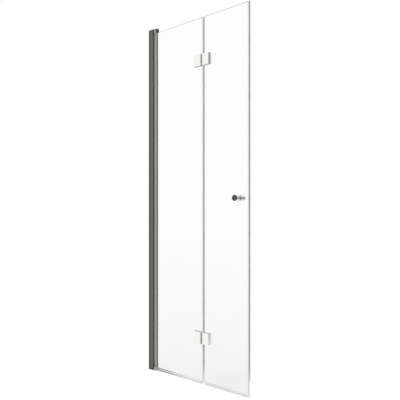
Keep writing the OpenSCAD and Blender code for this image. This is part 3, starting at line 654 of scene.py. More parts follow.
barrel_low, barrel_high = node_box("pivot_profile")
BARREL_R = (barrel_high[1] - barrel_low[1]) / 2
PIVOT_X = barrel_low[0] + BARREL_R
TUBE_T = 5.5 * MM
PIVOT_PIN_R = 3 * MM
profile_low, profile_high = node_box("frame_profile")
channel_low, channel_high = node_box("wall_channel")
top_cap_low, top_cap_high = node_box("top_bearing_cap")
foot_cap_low, _ = node_box("bottom_bearing_cap")
CAP_R = top_cap_high[1]
CAP_POCKET_R = BARREL_R + 0.4 * MM
CAP_H = 21 * MM
PROFILE_T = 1.6 * MM
RECESS_DEPTH = 6.5 * MM
WEB_T = 2 * MM
# The recess is as wide as a bearing cap is where it enters the profile, with room on both sides.
RECESS_ROOM = 0.2 * MM
RECESS_HALF = math.sqrt(CAP_R ** 2 - (PIVOT_X - profile_high[0]) ** 2) + RECESS_ROOM
glass_low, glass_high = node_box("inner_glass")
outer_low, outer_high = node_box("outer_glass")
GLASS_HALF = glass_high[1]
FOLD_X, HINGE_Y = node_middle("upper_hinge_pin")[:2]


# ---------------------------------------------------------------- wall profile


def make_wall_channel():
    """A U-shaped extrusion: a base plate with the wall screw holes, and a leg at each side of it."""
    base_t, hole_r = 2 * MM, 3 * MM
    hole_heights = np.linspace(105 * MM, 1815 * MM, 4)
    low, high = channel_low, channel_high
    base = rectangle(low[1:], high[1:], 0.3 * MM)
    levels = round_levels(low[0], low[0] + base_t, 0.25 * MM)
    holes = [(circle((0, z), hole_r, 32), levels, False) for z in hole_heights]
    shells = [carried("x", base, levels, holes)]
    for side in (-1, 1):
        inner, outer = sorted((side * high[1], side * (high[1] - PROFILE_T)))
        leg = rectangle((low[0] + base_t, inner), (high[0], outer), 0.35 * MM)
        shells.append(bar("z", leg, low[2], high[2]))
    piece("wall_channel", shells, channel_metal)


def make_frame_profile():
    """The extrusion that slides over the wall channel: two sides, a web, and a face with a recess."""
    low, high = profile_low, profile_high
    half = high[1]
    inside = half - PROFILE_T
    recess_x = high[0] - RECESS_DEPTH
    web_x = recess_x - WEB_T
    outline = both_sides(
        [(web_x, -inside), (low[0], -inside), (low[0], -half), (high[0], -half), (high[0], -RECESS_HALF),
         (recess_x, -RECESS_HALF)],
        (0.6, 0.35, 0.35, 1.5, 0.6, 0.35),
    )
    piece("frame_profile", [bar("z", outline, low[2], high[2])], dark_profile_metal)


def make_profile_caps():
    """A plastic plate with soft edges on each end of the two extrusions, with its plug inside the channel."""
    plate_t, edge = 2 * MM, 0.4 * MM
    recess_x = profile_high[0] - RECESS_DEPTH
    plug_half = channel_high[1] - PROFILE_T - 0.3 * MM
    plug_x = channel_low[0] + 4 * MM, channel_high[0] - 1 * MM
    for node in ("profile_top_cap", "profile_foot_cap"):
        low, high = node_box(node)
        if node == "profile_top_cap":
            seam = high[2] - plate_t
            plug, plate = (low[2], seam), (seam, high[2])
        else:
            seam = low[2] + plate_t
            plate, plug = (low[2], seam), (seam, high[2])
        outline = both_sides(
            [(low[0], low[1]), (high[0], low[1]), (high[0], -RECESS_HALF), (recess_x, -RECESS_HALF)],
            (1.5, 1.5, 0.6, 0.6),
        )
        shells = [
            carried("z", outline, round_levels(*plate, edge)),
            soft_box((plug_x[0], -plug_half, plug[0]), (plug_x[1], plug_half, plug[1]), edge),
        ]
        piece(node, shells, cap_plastic_and_painted_shade)


def make_adjusting_screw_caps():
    """Low round covers with a domed top over the adjusting screws, on the shower side."""
    low, high = node_box("adjusting_screw_caps")
    radius, rise = (high[0] - low[0]) / 2, high[1] - low[1]
    x = node_middle("adjusting_screw_caps")[0]
    profile = rounded(
        [(0, 0), (radius, 0), (radius, rise - 1.1 * MM), (radius - 0.9 * MM, rise - 0.3 * MM), (0, rise)],
        [0, 0.2 * MM, 0.4 * MM, 0.6 * MM, 0],
    )
    heights = np.linspace(low[2] + radius, high[2] - radius, 3)
    shells = [turned("y", (x, low[1], z), profile, steps=40) for z in heights]
    piece("adjusting_screw_caps", shells, dark_profile_metal)


def make_lip_seal():
    """A soft strip in the recess, with two curved lips that lean towards the pivot profile."""
    low, high = node_box("lip_seal")
    half = high[1]
    body_x = profile_high[0] - 2 * MM
    lip_x, lip_y, lip_half = high[0], half - 1.5 * MM, 0.4 * MM
    outline = both_sides(
        [(low[0], -half), (body_x, -half), (lip_x, -lip_y - lip_half), (lip_x, -lip_y + lip_half),
         (body_x, -half + 2.2 * MM)],
        (0.5, 0.6, 0.25, 0.25, 0.6),
    )
    piece("lip_seal", [bar("z", outline, low[2], high[2])], soft_grey)


# ---------------------------------------------------------------- pivot

# The top bearing cap has painted shade, in the dark plastic's colour, on its side towards the glass: past the
# first part of its radius, where the X of a face's normal is above the second number.
PAINTED_SHADE_REACH, PAINTED_SHADE_LEAN = 0.7, 0.74


def cap_holder(neck_low, neck_high, tab_low):
    """What holds a bearing cap in the recess: a neck whose end follows the cap's wall, and a tab."""
    half = RECESS_HALF - 0.4 * MM
    reach = CAP_R - 1.2 * MM
    tab_t, tab_h = 3.5 * MM, 15 * MM
    angle = math.degrees(math.asin(half / reach))
    end = arc((PIVOT_X, 0), reach, 180 + angle, 180 - angle, 12)
    back = top_cap_low[0]
    neck = np.concatenate([[(back, half), (back, -half)], end])
    return [
        bar("z", neck, neck_low, neck_high, 0.3 * MM),
        soft_box((back, -half, tab_low), (back + tab_t, half, tab_low + tab_h), 0.4 * MM),
    ]


def make_bearing_caps():
    """Round caps around the ends of the pivot profile, each with a neck and a tab in the profile's recess.

    The top cap has painted shade, in the dark plastic's colour, on its side towards the glass.
    """
    edge = 0.9 * MM
    top, bottom = top_cap_high[2], foot_cap_low[2]
    roof, floor, pin_floor = 6.5 * MM, 5 * MM, 1 * MM
    tab_drop, tab_overlap = 14 * MM, 1 * MM
    clip_r, clip_h, bush_r, pin_r = 7.5 * MM, 2.6 * MM, PIVOT_PIN_R + 1.55 * MM, PIVOT_PIN_R + 0.05 * MM
    profile = rounded(
        [
            (CAP_POCKET_R, -CAP_H), (CAP_R, -CAP_H), (CAP_R, 0), (clip_r, 0), (clip_r, -clip_h),
            (bush_r, -clip_h), (bush_r, -roof), (CAP_POCKET_R, -roof),
        ],
        [0.4 * MM, edge, edge, 0.2 * MM, 0, 0, 0, 0.2 * MM],
    )
    shells = [
        turned("z", (PIVOT_X, 0, top), profile, closed=True),
        *cap_holder(top - CAP_H, top, top - CAP_H - tab_drop),
    ]
    thing = piece("top_bearing_cap", shells, [bearing_cap_metal, cap_plastic_and_painted_shade])
    # Painted shade: faces on the top cap's side towards the glass take the dark plastic's colour.
    paint(thing, lambda x, y, z, normal: (normal[:, 0] > PAINTED_SHADE_LEAN) & (x > PIVOT_X + PAINTED_SHADE_REACH * CAP_R))
    profile = rounded(
        [
            (0, 0), (CAP_R, 0), (CAP_R, CAP_H), (CAP_POCKET_R, CAP_H), (CAP_POCKET_R, floor),
            (pin_r, floor), (pin_r, pin_floor), (0, pin_floor),
        ],
        [0, edge, edge, 0.4 * MM, 0.2 * MM, 0.2 * MM, 0, 0],
    )
    shells = [
        turned("z", (PIVOT_X, 0, bottom), profile),
        *cap_holder(bottom, bottom + CAP_H, bottom + CAP_H - tab_overlap),
    ]
    piece("bottom_bearing_cap", shells, bearing_cap_metal)


def make_bearing_cover():
    """A thin disc in the top bearing cap, slightly dished, with a rounded rim."""
    low, high = node_box("bearing_cover")
    radius, rise, dish = (high[0] - low[0]) / 2, high[2] - low[2], 0.3 * MM
    profile = rounded(
        [(0, 0), (radius, 0), (radius, rise), (radius - 1.2 * MM, rise), (radius - 2 * MM, rise - dish),
         (0, rise - dish)],
        [0, 0.1 * MM, 0.25 * MM, 0.3 * MM, 0.3 * MM, 0],
    )
    piece("bearing_cover", [turned("z", (PIVOT_X, 0, low[2]), profile)], bearing_cap_metal)


def make_pivot_profile():
    """A round tube whose outside opens into two short rounded lips, with the slot between them for the glass.

    The lips are a bar of their own, which starts on an arc just inside the tube's outside.
    """
    low, high = barrel_low, barrel_high
    gasket_low, gasket_high = node_box("clamp_gasket")
    lips_low, lips_high = 22 * MM, 1892.5 * MM
    lip_t, grip = 1.2 * MM, 0.05 * MM
    tip_mm = 0.48 * lip_t / MM
    slot_half = gasket_high[1] + grip
    half = slot_half + lip_t
    slot_x, tip_x = gasket_low[0] - grip, PIVOT_X + 13.5 * MM
    root = BARREL_R - 1 * MM
    angle = math.degrees(math.asin(half / root))
    bore = circle((PIVOT_X, 0), BARREL_R - TUBE_T, 64)
    tube = bar("z", circle((PIVOT_X, 0), BARREL_R, 96), low[2], high[2], 0.3 * MM, holes=[bore])
    fork = both_sides(
        [(PIVOT_X + 6 * MM, -half), (tip_x, -half), (tip_x, -slot_half), (slot_x, -slot_half)],
        (0, tip_mm, tip_mm, 0.3),
    )[1:-1]
    foot = arc((PIVOT_X, 0), root, angle, -angle, 16)
    lips = bar("z", np.concatenate([fork, foot]), lips_low, lips_high)
    piece("pivot_profile", [tube, lips], pivot_metal)


def make_clamp_gasket():
    """A soft U-shaped strip around the glass edge in the fork, with rounded lips."""
    low, high = node_box("clamp_gasket")
    half, mouth = high[1], high[0]
    bottom_x = glass_low[0] - 0.05 * MM
    glass = GLASS_HALF + 0.02 * MM
    outline = both_sides(
        [(low[0], -half), (mouth, -half), (mouth, -glass), (bottom_x, -glass)], (0.5, 0.4, 0.2, 0.2)
    )
    piece("clamp_gasket", [bar("z", outline, low[2], high[2])], soft_grey)


# ---------------------------------------------------------------- glass

HINGES = ("upper_hinge", "lower_hinge")
DISC_SPREAD = 32 * MM
GLASS_HOLE_R = 6 * MM
GLASS_CONE_H = 4.2 * MM
KNOB_HOLE_R = 6 * MM
# A face belongs to a pane's clear sides where the Y of its normal is at least this.
CLEAR_LEAN = 0.95


def disc_places(hinge, side):
    """X and Z of the two clamp discs of a hinge plate, one above the other on its middle line."""
    x, _, z = node_middle(f"{hinge}_{side}_discs")
    return [(x, z + step * DISC_SPREAD / 2) for step in (-1, 1)]


def make_pane(side, outline, extra_holes=()):
    """A sheet of toughened glass with ground, bevelled edges, plain holes, and countersunk hinge holes.

    Its outline is carried from face to face. Near each face it draws in by the width of the bevel. A hinge
    hole widens at 45 degrees towards the shower side. What doesn't face along Y is ground.
    """
    low, high = node_box(f"{side}_glass")
    bevel, rim = 0.6 * MM, 0.3 * MM
    levels = [(low[1], bevel), (low[1] + bevel, 0), (high[1] - bevel, 0), (high[1], bevel)]
    cone = [(low[1], rim), (low[1] + rim, 0), (high[1] - GLASS_CONE_H, 0), (high[1], GLASS_CONE_H)]
    places = [place for hinge in HINGES for place in disc_places(hinge, side)]
    holes = [(circle(place, GLASS_HOLE_R), cone, False) for place in places]
    holes += [(circle(place, radius), levels, False) for place, radius in extra_holes]
    thing = piece(f"{side}_glass", [carried("y", outline, levels, holes)], [glass_face, glass_edge])
    paint(thing, lambda x, y, z, normal: np.abs(normal[:, 1]) < CLEAR_LEAN)


def make_glass():
    """The inner pane, with notches beside the bearing caps, and the outer pane, with the knob's hole."""
    corner, notch_r = 2 * MM, 3 * MM
    left, right, bottom, top = glass_low[0], glass_high[0], glass_low[2], glass_high[2]
    notch_x = PIVOT_X + CAP_R + 0.9 * MM
    notch_low, notch_high = foot_cap_low[2] + 23 * MM, 1891 * MM
    inner = rounded(
        [
            (notch_x, bottom), (right, bottom), (right, top), (notch_x, top),
            (notch_x, notch_high), (left, notch_high), (left, notch_low), (notch_x, notch_low),
        ],
        [corner, corner, corner, corner, notch_r, corner, corner, notch_r],
        steps=6,
    )
    make_pane("inner", inner)
    outer = rectangle(outer_low[[0, 2]], outer_high[[0, 2]], corner)
    make_pane("outer", outer, [(node_middle("outside_knob")[[0, 2]], KNOB_HOLE_R)])


# ---------------------------------------------------------------- fold hinges

KNUCKLE_R = 5.5 * MM
HINGE_PIN_R = 2.5 * MM
PLATE_T = 15.4 * MM
PLATE_EDGE = 0.8 * MM
PLATE_CORNER = 1.2 * MM
PAD_T = 1 * MM
DISC_R = 9 * MM
DISC_NECK_R = 5 * MM
DISC_SHANK_R = 3 * MM
DISC_RIM = 0.3 * MM
# How far a disc's face lies from the outside of the glass.
DISC_FACE = 5.95 * MM


def knuckle(side, plate_x, front_y, low_z, high_z, bore_r):
    """A round knuckle about the hinge pin, with a web to the plate at its left (-1) or right (1).

    Its outline is the circle of the knuckle from the web's back, round the far side to the web's front.
    """
    back_y = front_y + KNUCKLE_R
    start = math.degrees(math.asin((front_y - HINGE_Y) / KNUCKLE_R))
    reach = abs(plate_x - FOLD_X) + 1 * MM
    round_part = arc((0, HINGE_Y), KNUCKLE_R, 90, 360 + start, 40)
    outline = np.concatenate([round_part, [(reach, front_y), (reach, back_y), (0, back_y)]])
    if side < 0:
        outline = outline[::-1] * (-1, 1)
    outline = outline + (FOLD_X, 0)
    levels = round_levels(low_z, high_z, 0.3 * MM)
    return carried("z", outline, levels, [(circle((FOLD_X, HINGE_Y), bore_r, 40), levels, False)])


def make_leaf(hinge, side):
    """An outside plate with its knuckle: the lower knuckle is the inner panel's, the upper the outer's."""
    node = f"{hinge}_{side}_leaf"
    low, high = node_box(node)
    pad_low, pad_high = node_box(f"{hinge}_{side}_pad")
    front_y = high[1] - PLATE_T
    left, right = pad_low[0] - 0.5 * MM, pad_high[0] + 0.5 * MM
    lower_h, washer_t, head_t, gap = 36 * MM, 0.7 * MM, 1.5 * MM, 0.2 * MM
    if side == "inner":
        heights, plate_x, sign = (low[2], low[2] + lower_h), right, -1
    else:
        heights = (low[2] + lower_h + washer_t + gap, high[2] - head_t - gap)
        plate_x, sign = left, 1
    outline = rectangle((left, low[2]), (right, high[2]), PLATE_CORNER)
    plate = carried("y", outline, round_levels(front_y, high[1], PLATE_EDGE))
    bore_r = HINGE_PIN_R + 0.03 * MM
    thing = piece(node, [plate, knuckle(sign, plate_x, front_y, *heights, bore_r)], [chrome, knuckle_metal])
    paint(thing, lambda x, y, z, normal: np.abs(x - FOLD_X) < KNUCKLE_R)


def make_pad(hinge, side):
    """A soft pad between plate and glass, and the sleeves that line the countersunk glass holes.

    A sleeve's profile goes up the wall of the hole and its cone, and back along the disc's cone and neck.
    """
    node = f"{hinge}_{side}_pad"
    low, high = node_box(node)
    bore = DISC_SHANK_R + 0.15 * MM
    glass_y = low[1] + PAD_T
    outline = rectangle(low[[0, 2]], high[[0, 2]], PLATE_CORNER)
    places = disc_places(hinge, side)
    levels = [(low[1], 0), (glass_y, 0)]
    shells = [carried("y", outline, levels, [(circle(place, bore, 32), levels, False) for place in places])]
    gap, foot = 0.05 * MM, -0.5 * MM
    hole_r, neck_r, disc_r = GLASS_HOLE_R - gap, DISC_NECK_R + gap, DISC_R + gap
    cone, top, rim = 2 * GLASS_HALF - GLASS_CONE_H, DISC_FACE - gap, DISC_FACE - DISC_RIM
    sleeve = [
        (bore, foot), (hole_r, foot), (hole_r, cone), (hole_r + top - cone, top), (disc_r, top),
        (disc_r, rim), (neck_r, rim - (disc_r - neck_r)), (neck_r, 0), (bore, 0),
    ]
    shells += [turned("y", (x, glass_y, z), sleeve, closed=True) for x, z in places]
    piece(node, shells, soft_black)


def make_discs(hinge, side):
    """Clamp discs: countersunk heads, flush in the glass, with a fine chamfer and a hexagon socket."""
    node = f"{hinge}_{side}_discs"
    low, high = node_box(node)
    face, tip = high[1], low[1]
    chamfer, tip_chamfer, step = 0.15 * MM, 0.6 * MM, 0.01 * MM
    socket_r, socket_depth, socket_chamfer = 2.3 * MM, 2.6 * MM, 0.25 * MM
    rim, glass_y = face - DISC_RIM, face - DISC_FACE
    cone = rim - (DISC_R - DISC_NECK_R)
    neck, wide = DISC_SHANK_R - DISC_NECK_R, DISC_SHANK_R - DISC_R
    levels = [
        (tip, tip_chamfer), (tip + tip_chamfer, 0), (glass_y, 0), (glass_y + step, neck), (cone, neck),
        (rim, wide), (face - chamfer, wide), (face, wide + chamfer),
    ]
    socket_levels = [(face - socket_depth, 0), (face - socket_chamfer, 0), (face, socket_chamfer)]
    shells = []
    for place in disc_places(hinge, side):
        socket = circle(place, socket_r, 6), socket_levels, True
        shells.append(carried("y", circle(place, DISC_SHANK_R, 64), levels, [socket]))
    piece(node, shells, chrome)


def make_hinge_pin(hinge):
    """A pin with a low domed head on top, and the washer between the knuckles."""
    low, high = node_box(f"{hinge}_pin")
    head_r, head_t = (high[0] - low[0]) / 2, 1.5 * MM
    flat_r, length = 0.6 * head_r, high[2] - low[2]
    profile = rounded(
        [(0, 0), (HINGE_PIN_R, 0), (HINGE_PIN_R, length - head_t), (head_r, length - head_t),
         (head_r, length - 0.5 * MM), (flat_r, length), (0, length)],
        [0, 0.3 * MM, 0.1 * MM, 0.15 * MM, 0.3 * MM, 0.9 * MM, 0],
    )
    piece(f"{hinge}_pin", [turned("z", (FOLD_X, HINGE_Y, low[2]), profile)], chrome)
    low, high = node_box(f"{hinge}_washer")
    radius, rise, bore = (high[0] - low[0]) / 2, high[2] - low[2], HINGE_PIN_R + 0.05 * MM
    ring = rounded([(bore, 0), (radius, 0), (radius, rise), (bore, rise)], 0.12 * MM)
    piece(f"{hinge}_washer", [turned("z", (FOLD_X, HINGE_Y, low[2]), ring, closed=True)], bearing_plastic)


def make_hinges():
    """Both fold hinges with all their pieces."""
    for hinge in HINGES:
        for side in ("inner", "outer"):
            make_leaf(hinge, side)
            make_pad(hinge, side)
            make_discs(hinge, side)
        make_hinge_pin(hinge)


# ---------------------------------------------------------------- seals

SEAL_T = 1.15 * MM
SEAL_GAP = 0.05 * MM
# A seal's legs on the glass reach from the first distance from its middle plane to the second.
SEAL_INSIDE = GLASS_HALF + SEAL_GAP
SEAL_OUTSIDE = SEAL_INSIDE + SEAL_T
# The width of a wiper's tip as a part of that of its root.
WIPER_TIP = 0.55
# The fold seal is milky from this far beyond the fold's axis.
MILKY_START = 0.3 * MM
# The magnet strip's dark core starts at the first part of its width, and ends at the second of its depth.
CORE_EDGES = np.array([0.75, 0.8])


def make_drip_seals():
    """Clear strips under the panes: two legs on the glass, a wiper to the tray, a lip that drips inwards."""
    inside, outside = SEAL_INSIDE, SEAL_OUTSIDE
    bridge, wiper = glass_low[2] - SEAL_GAP - SEAL_T, SEAL_T / 2
    for node in ("inner_drip_seal", "outer_drip_seal"):
        low, high = node_box(node)
        top, lip = high[2], high[1]
        outline = rounded(
            [
                (-WIPER_TIP * wiper, low[2]), (WIPER_TIP * wiper, low[2]), (wiper, bridge),
                (outside - 1.1 * MM, bridge), (lip - 0.6 * MM, 2 * MM), (lip, 2.8 * MM),
                (outside, bridge + 1.3 * MM), (outside, top),
                (inside, top), (inside, bridge + SEAL_T), (-inside, bridge + SEAL_T), (-inside, top),
                (-outside, top), (-outside, bridge), (-wiper, bridge),
            ],
            np.array([0.25, 0.25, 0.5, 1.2, 0.35, 0.35, 1.0, 0.3, 0.3, 0.4, 0.4, 0.3, 0.3, 0.9, 0.5]) * MM,
        )
        piece(node, [bar("x", outline, low[0], high[0])], drip_seal_plastic)


def make_fold_seal():
    """A clear strip on the inner pane's edge, with a hollow bulb that fills the fold. It stops at the hinges.

    The bulb is a circle that sinks a little into the strip. Its half next to the outer pane is milky.
    """
    low, high = node_box("fold_seal")
    bulb_t, sunk, gap = 0.8 * MM, 0.15 * MM, 1 * MM
    edge = glass_high[0] + SEAL_GAP
    meet = edge + SEAL_T
    bulb_r = (high[0] - meet + sunk) / 2
    bulb_x = high[0] - bulb_r
    angle = math.degrees(math.acos((meet - bulb_x) / bulb_r))
    bulb = arc((bulb_x, 0), bulb_r, -angle, angle, 32)
    legs = both_sides(
        [(meet, SEAL_OUTSIDE), (low[0], SEAL_OUTSIDE), (low[0], SEAL_INSIDE), (edge, SEAL_INSIDE)],
        (0.5, 0.3, 0.3, 0.3),
    )
    outline = np.concatenate([bulb, legs])
    hole = circle((bulb_x, 0), bulb_r - bulb_t, 32)
    stops = [low[2]]
    for hinge in reversed(HINGES):
        plate_low, plate_high = node_box(f"{hinge}_inner_leaf")
        stops += [plate_low[2] - gap, plate_high[2] + gap]
    stops.append(high[2])
    shells = [bar("z", outline, start, end, 0.1 * MM, [hole]) for start, end in zip(stops[::2], stops[1::2])]
    thing = piece("fold_seal", shells, [clear_seal, milky_seal])
    paint(thing, lambda x, y, z, normal: x > FOLD_X + MILKY_START)


def make_closing_seal():
    """A clear strip on the closing edge with a flat-faced chamber, and the magnet strip in it.

    The magnet strip is a white carrier with a dark core at its outside corner.
    """
    low, high = node_box("closing_seal")
    edge = outer_high[0] + SEAL_GAP
    half, front = high[1], high[0]
    outline = both_sides(
        [(edge, -SEAL_INSIDE), (low[0], -SEAL_INSIDE), (low[0], -SEAL_OUTSIDE), (edge, -SEAL_OUTSIDE),
         (edge + 0.2 * MM, -half), (front, -half)],
        (0.3, 0.3, 0.3, 0.3, 0.5, 0.7),
    )
    chamber = rectangle((edge + SEAL_T, -half + SEAL_T), (front - SEAL_T, half - SEAL_T), 0.4 * MM)
    piece("closing_seal", [bar("z", outline, low[2], high[2], holes=[chamber])], clear_seal)
    low, high = node_box("magnet_strip")
    core_x, core_y = low[:2] + CORE_EDGES * (high[:2] - low[:2])
    outline = rounded(
        [(low[0], low[1]), (core_x, low[1]), (high[0], low[1]), (high[0], core_y), (high[0], high[1]),
         (low[0], high[1])],
        np.array([0.4, 0, 0.3, 0, 0.3, 0.4]) * MM,
    )
    shell = carried("z", outline, round_levels(low[2], high[2], 0.35 * MM))
    thing = piece("magnet_strip", [shell], [magnet_carrier_plastic, magnet_strip_material])
    paint(thing, lambda x, y, z, normal: (x > core_x) & (y < core_y))


# ---------------------------------------------------------------- knobs

KNOB_CAP_H = 5.4 * MM
KNOB_FACE_H = 1.4 * MM
SCREW_HOLE_R = 2.05 * MM
# The dish's first row of points lies at this part of the angle to its edge, just inside the rim's last row.
DISH_START = 0.97


def knob_profile(length, radius):
    """Half outline of a knob: a narrower foot, a soft shoulder, a side with a fine groove, and a dished face.

    The dish is part of a sphere. Its edge is where the sphere meets the face's plane.
    """
    foot_r, foot_h = radius - 2.5 * MM, 2.2 * MM
    dish_r, dish_h = 22 * MM, 1.3 * MM
    dish_edge = math.sqrt(dish_r ** 2 - (dish_r - dish_h) ** 2)
    groove, depth = length - KNOB_CAP_H, 0.25 * MM
    side = rounded(
        [(0, 0), (foot_r, 0), (foot_r, foot_h), (radius, foot_h), (radius, groove - depth),
         (radius - depth, groove), (radius, groove + depth), (radius, length), (dish_edge, length),
         (0, length)],
        np.array([0, 0.2, 0.4, 1.2, 0.1, 0.1, 0.1, 1.4, 0.8, 0]) * MM,
        steps=6,
    )
    rim = side[:-1]
    edge = math.degrees(math.asin(rim[-1][0] / dish_r))
    dish = arc((0, length + dish_r - dish_h), dish_r, -90 + DISH_START * edge, -90, 12)
    return np.concatenate([rim, dish])


def make_knobs():
    """Two knobs, back to back, with their pads and the sleeve in the glass hole.

    The outside knob has a dark cap with a groove behind it. On the shower side only the dished face is dark.
    That knob has a hole for the grub screw in the lowest line of its round side.
    """
    for node, sign, dark_h in (("outside_knob", -1, KNOB_CAP_H), ("shower_side_knob", 1, KNOB_FACE_H)):
        low, high = node_box(node)
        radius, length = (high[0] - low[0]) / 2, high[1] - low[1]
        x, _, z = node_middle(node)
        base_y = high[1] if sign < 0 else low[1]
        vertices, faces = turned("y", (x, 0, z), knob_profile(length, radius), steps=96)
        if sign < 0:
            vertices = vertices * (1, -1, 1)
            faces = [face[::-1] for face in faces]
        vertices = vertices + (0, base_y, 0)
        thing = piece(node, [(vertices, faces)], [chrome, knob_cap_metal])
        if node == "shower_side_knob":
            screw_x, screw_y, _ = node_middle("knob_grub_screw")
            start, end = low[2] - 2 * MM, node_box("knob_grub_screw")[1][2]
            hole = [(0, start), (SCREW_HOLE_R, start), (SCREW_HOLE_R, end), (0, end)]
            take_away(thing, turned("z", (screw_x, screw_y, 0), hole, steps=32))
        dark_y = base_y + sign * (length - dark_h)
        paint(thing, lambda x, y, z, normal: (y - dark_y) * sign > 0)
    low, high = node_box("knob_pads")
    x, _, z = node_middle("knob_pads")
    radius, bore, pad_t = (high[0] - low[0]) / 2, 3.1 * MM, 1 * MM
    ring = rounded([(bore, 0), (radius, 0), (radius, pad_t), (bore, pad_t)], 0.2 * MM)
    shells = [turned("y", (x, y, z), ring, closed=True) for y in (low[1], high[1] - pad_t)]
    sleeve_r, sleeve_l = KNOB_HOLE_R - 0.2 * MM, 2 * GLASS_HALF - 0.1 * MM
    sleeve = [(bore, 0), (sleeve_r, 0), (sleeve_r, sleeve_l), (bore, sleeve_l)]
    shells.append(turned("y", (x, -GLASS_HALF, z), sleeve, closed=True))
    piece("knob_pads", shells, soft_black)


# ---------------------------------------------------------------- hidden metal and plastic pieces


def finish_inner_pieces():
    """The pieces inside the bearings, profiles and knobs keep their shapes and get their own finishes."""
    finishes = {
        turned_steel: (
            "adjusting_screws", "bearing_screws", "lower_pivot_pin", "upper_pivot_pin", "pivot_pin_clip",
            "knob_stud", "knob_grub_screw",
        ),
        bearing_plastic: ("top_bearing_bush", "lift_cam", "upper_pivot_plug", "lower_pivot_plug"),
    }
    for material, nodes in finishes.items():
        for node in nodes:
            mesh = frame["nodes"][node].data
            mesh.materials.clear()
            mesh.materials.append(material)


# ---------------------------------------------------------------- studio

# The studio is white on the side that the front of the door mirrors, overhead, and on the floor near the pale
# spot behind the door. The rest of it is grey.
WHITE_SIDE = (-0.72, -0.69, 0.0)
WHITE, GREY = 0.95, 0.36
PALE_SPOT = (-0.2, 0.9, 0.0)
# Each white area goes from grey at the first value to white at the second: how far a direction leans to the
# white side, how far it leans upwards, and the distance from the pale spot.
SIDE_EDGE = 0.22, 0.80
OVERHEAD_EDGE = 0.38, 0.68
SPOT_EDGE = 1.55, 0.75
LAMP_TARGET = (0.0, 0.0, 0.9)


def measure(tree, operation, first, second):
    """One number from two vectors."""
    node = add(tree, "ShaderNodeVectorMath", operation=operation)
    for socket, value in zip(node.inputs, (first, second)):
        feed(tree, socket, value)
    return node.outputs["Value"]


def studio_tone(tree, direction, white):
    """The studio's brightness in a direction. white is 1 in its overhead part or on its pale spot."""
    side = smooth(tree, measure(tree, "DOT_PRODUCT", direction, WHITE_SIDE), *SIDE_EDGE)
    return shift(tree, calc(tree, "MAXIMUM", side, white), GREY, WHITE)


def ray_kinds(tree):
    """Three masks: rays from the camera also through glass, straight from the camera, and scattered ones.

    A ray through glass doesn't count for the first once a surface has mirrored or scattered it.
    """
    path = add(tree, "ShaderNodeLightPath").outputs
    not_mirrored = calc(tree, "LESS_THAN", path["Glossy Depth"], 0.5)
    not_scattered = calc(tree, "LESS_THAN", path["Diffuse Depth"], 0.5)
    through_glass = times(tree, path["Is Transmission Ray"], times(tree, not_mirrored, not_scattered))
    plain = calc(tree, "MAXIMUM", path["Is Camera Ray"], through_glass)
    return plain, path["Is Camera Ray"], path["Is Diffuse Ray"]


def make_world():
    """White behind the object, the studio's own tones in reflections, more even light on matt surfaces.

    The light on a matt surface is 0.4 of the studio's tone and an even 0.5.
    """
    world = bpy.data.worlds.new("studio")
    bpy.context.scene.world = world
    world.use_nodes = True
    tree = world.node_tree
    white = (1.0, 1.0, 1.0, 1.0)
    direction = add(tree, "ShaderNodeTexCoord").outputs["Generated"]
    tone = studio_tone(tree, direction, smooth(tree, axes(tree, direction)["Z"], *OVERHEAD_EDGE))
    even = calc(tree, "ADD", times(tree, tone, 0.4), 0.5)
    plain, _, diffuse = ray_kinds(tree)
    softened = times(tree, calc(tree, "SUBTRACT", even, tone), diffuse)
    mirrored = tree.nodes["Background"]
    feed(tree, mirrored.inputs["Color"], white)
    feed(tree, mirrored.inputs["Strength"], calc(tree, "ADD", tone, softened))
    shown = add(tree, "ShaderNodeBackground", Color=white, Strength=1.0)
    shader = blend_shaders(tree, plain, mirrored.outputs[0], shown.outputs[0])
    tree.links.new(shader, tree.nodes["World Output"].inputs["Surface"])


def glow(tree, strength):
    """A white shader that shines by itself."""
    return add(tree, "ShaderNodeEmission", Strength=strength).outputs[0]


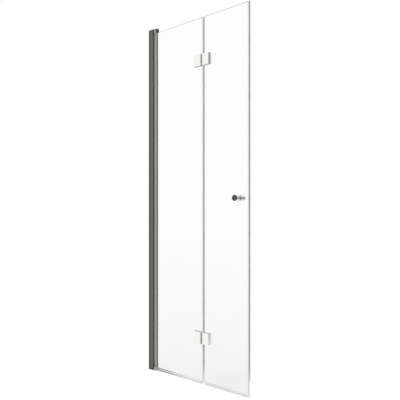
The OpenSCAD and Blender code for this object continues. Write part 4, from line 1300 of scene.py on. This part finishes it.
def make_floor():
    """A pale level floor: white with a faint shadow to the camera, softly shaded through glass and in metal.

    The camera sees a dark matt floor that takes the shadow, with a glow on it that brings it to white.
    Through glass the floor carries painted shade near the door: it brightens with the distance d from the
    origin as d / (d + 1.2). Scattered rays meet a plain pale floor, and mirrored ones the studio's tone.
    """
    size, height, half_way = 12.0, -0.2 * MM, 1.2
    corners = [(-size, -size, height), (size, -size, height), (size, size, height), (-size, size, height)]
    mesh = bpy.data.meshes.new("floor")
    mesh.from_pydata(corners, [], [(0, 1, 2, 3)])
    floor = bpy.data.objects.new("floor", mesh)
    bpy.context.scene.collection.objects.link(floor)
    material = bpy.data.materials.new("floor_paint")
    material.use_nodes = True
    mesh.materials.append(material)
    tree = material.node_tree
    place = add(tree, "ShaderNodeTexCoord").outputs["Object"]
    distance = measure(tree, "DISTANCE", place, (0.0, 0.0, 0.0))
    direction = add(tree, "ShaderNodeVectorMath", operation="NORMALIZE", Vector=place).outputs["Vector"]
    near_spot = smooth(tree, measure(tree, "DISTANCE", place, PALE_SPOT), *SPOT_EDGE)
    mirrored = glow(tree, studio_tone(tree, direction, near_spot))
    far = calc(tree, "DIVIDE", distance, calc(tree, "ADD", distance, half_way))
    through_glass = glow(tree, shift(tree, far, 0.88, 1.0))
    matt = tree.nodes["Principled BSDF"]
    pale = (0.82, 0.82, 0.82, 1.0)
    for label, value in (("Base Color", pale), ("Roughness", 0.9), ("Specular IOR Level", 0.0)):
        matt.inputs[label].default_value = value
    shadowed = add(tree, "ShaderNodeBsdfDiffuse", Color=(0.13, 0.13, 0.13, 1.0)).outputs[0]
    to_camera = add(tree, "ShaderNodeAddShader")
    for socket, shader in zip(to_camera.inputs, (shadowed, glow(tree, 0.91))):
        tree.links.new(shader, socket)
    plain, camera, diffuse = ray_kinds(tree)
    shader = mirrored
    for rays, other in ((diffuse, matt.outputs[0]), (plain, through_glass), (camera, to_camera.outputs[0])):
        shader = blend_shaders(tree, rays, shader, other)
    tree.links.new(shader, tree.nodes["Material Output"].inputs["Surface"])


def make_lamp(name, place, size, power):
    """A soft square lamp that faces the middle of the door. Glass and metal don't mirror or show it."""
    data = bpy.data.lights.new(name, "AREA")
    data.shape = "RECTANGLE"
    data.size = data.size_y = size
    data.energy = power
    lamp = bpy.data.objects.new(name, data)
    lamp.location = place
    lamp.visible_glossy = lamp.visible_transmission = False
    lamp.rotation_euler = (Vector(LAMP_TARGET) - Vector(place)).to_track_quat("-Z", "Y").to_euler()
    bpy.context.scene.collection.objects.link(lamp)


def make_studio():
    """The camera, the floor, the surroundings and three soft lamps."""
    bpy.context.scene.view_settings.view_transform = "Standard"
    make_camera()
    make_world()
    make_floor()
    make_lamp("key", (0.5, -3.2, 3.4), 2.5, 30)
    make_lamp("back", (-0.5, 3.0, 3.0), 2.5, 20)
    make_lamp("side", (4.6, -0.5, 2.3), 4.0, 110)


make_studio()
make_wall_channel()
make_frame_profile()
make_profile_caps()
make_adjusting_screw_caps()
make_lip_seal()
make_bearing_caps()
make_bearing_cover()
make_pivot_profile()
make_clamp_gasket()
make_glass()
make_hinges()
make_drip_seals()
make_fold_seal()
make_closing_seal()
make_knobs()
finish_inner_pieces()
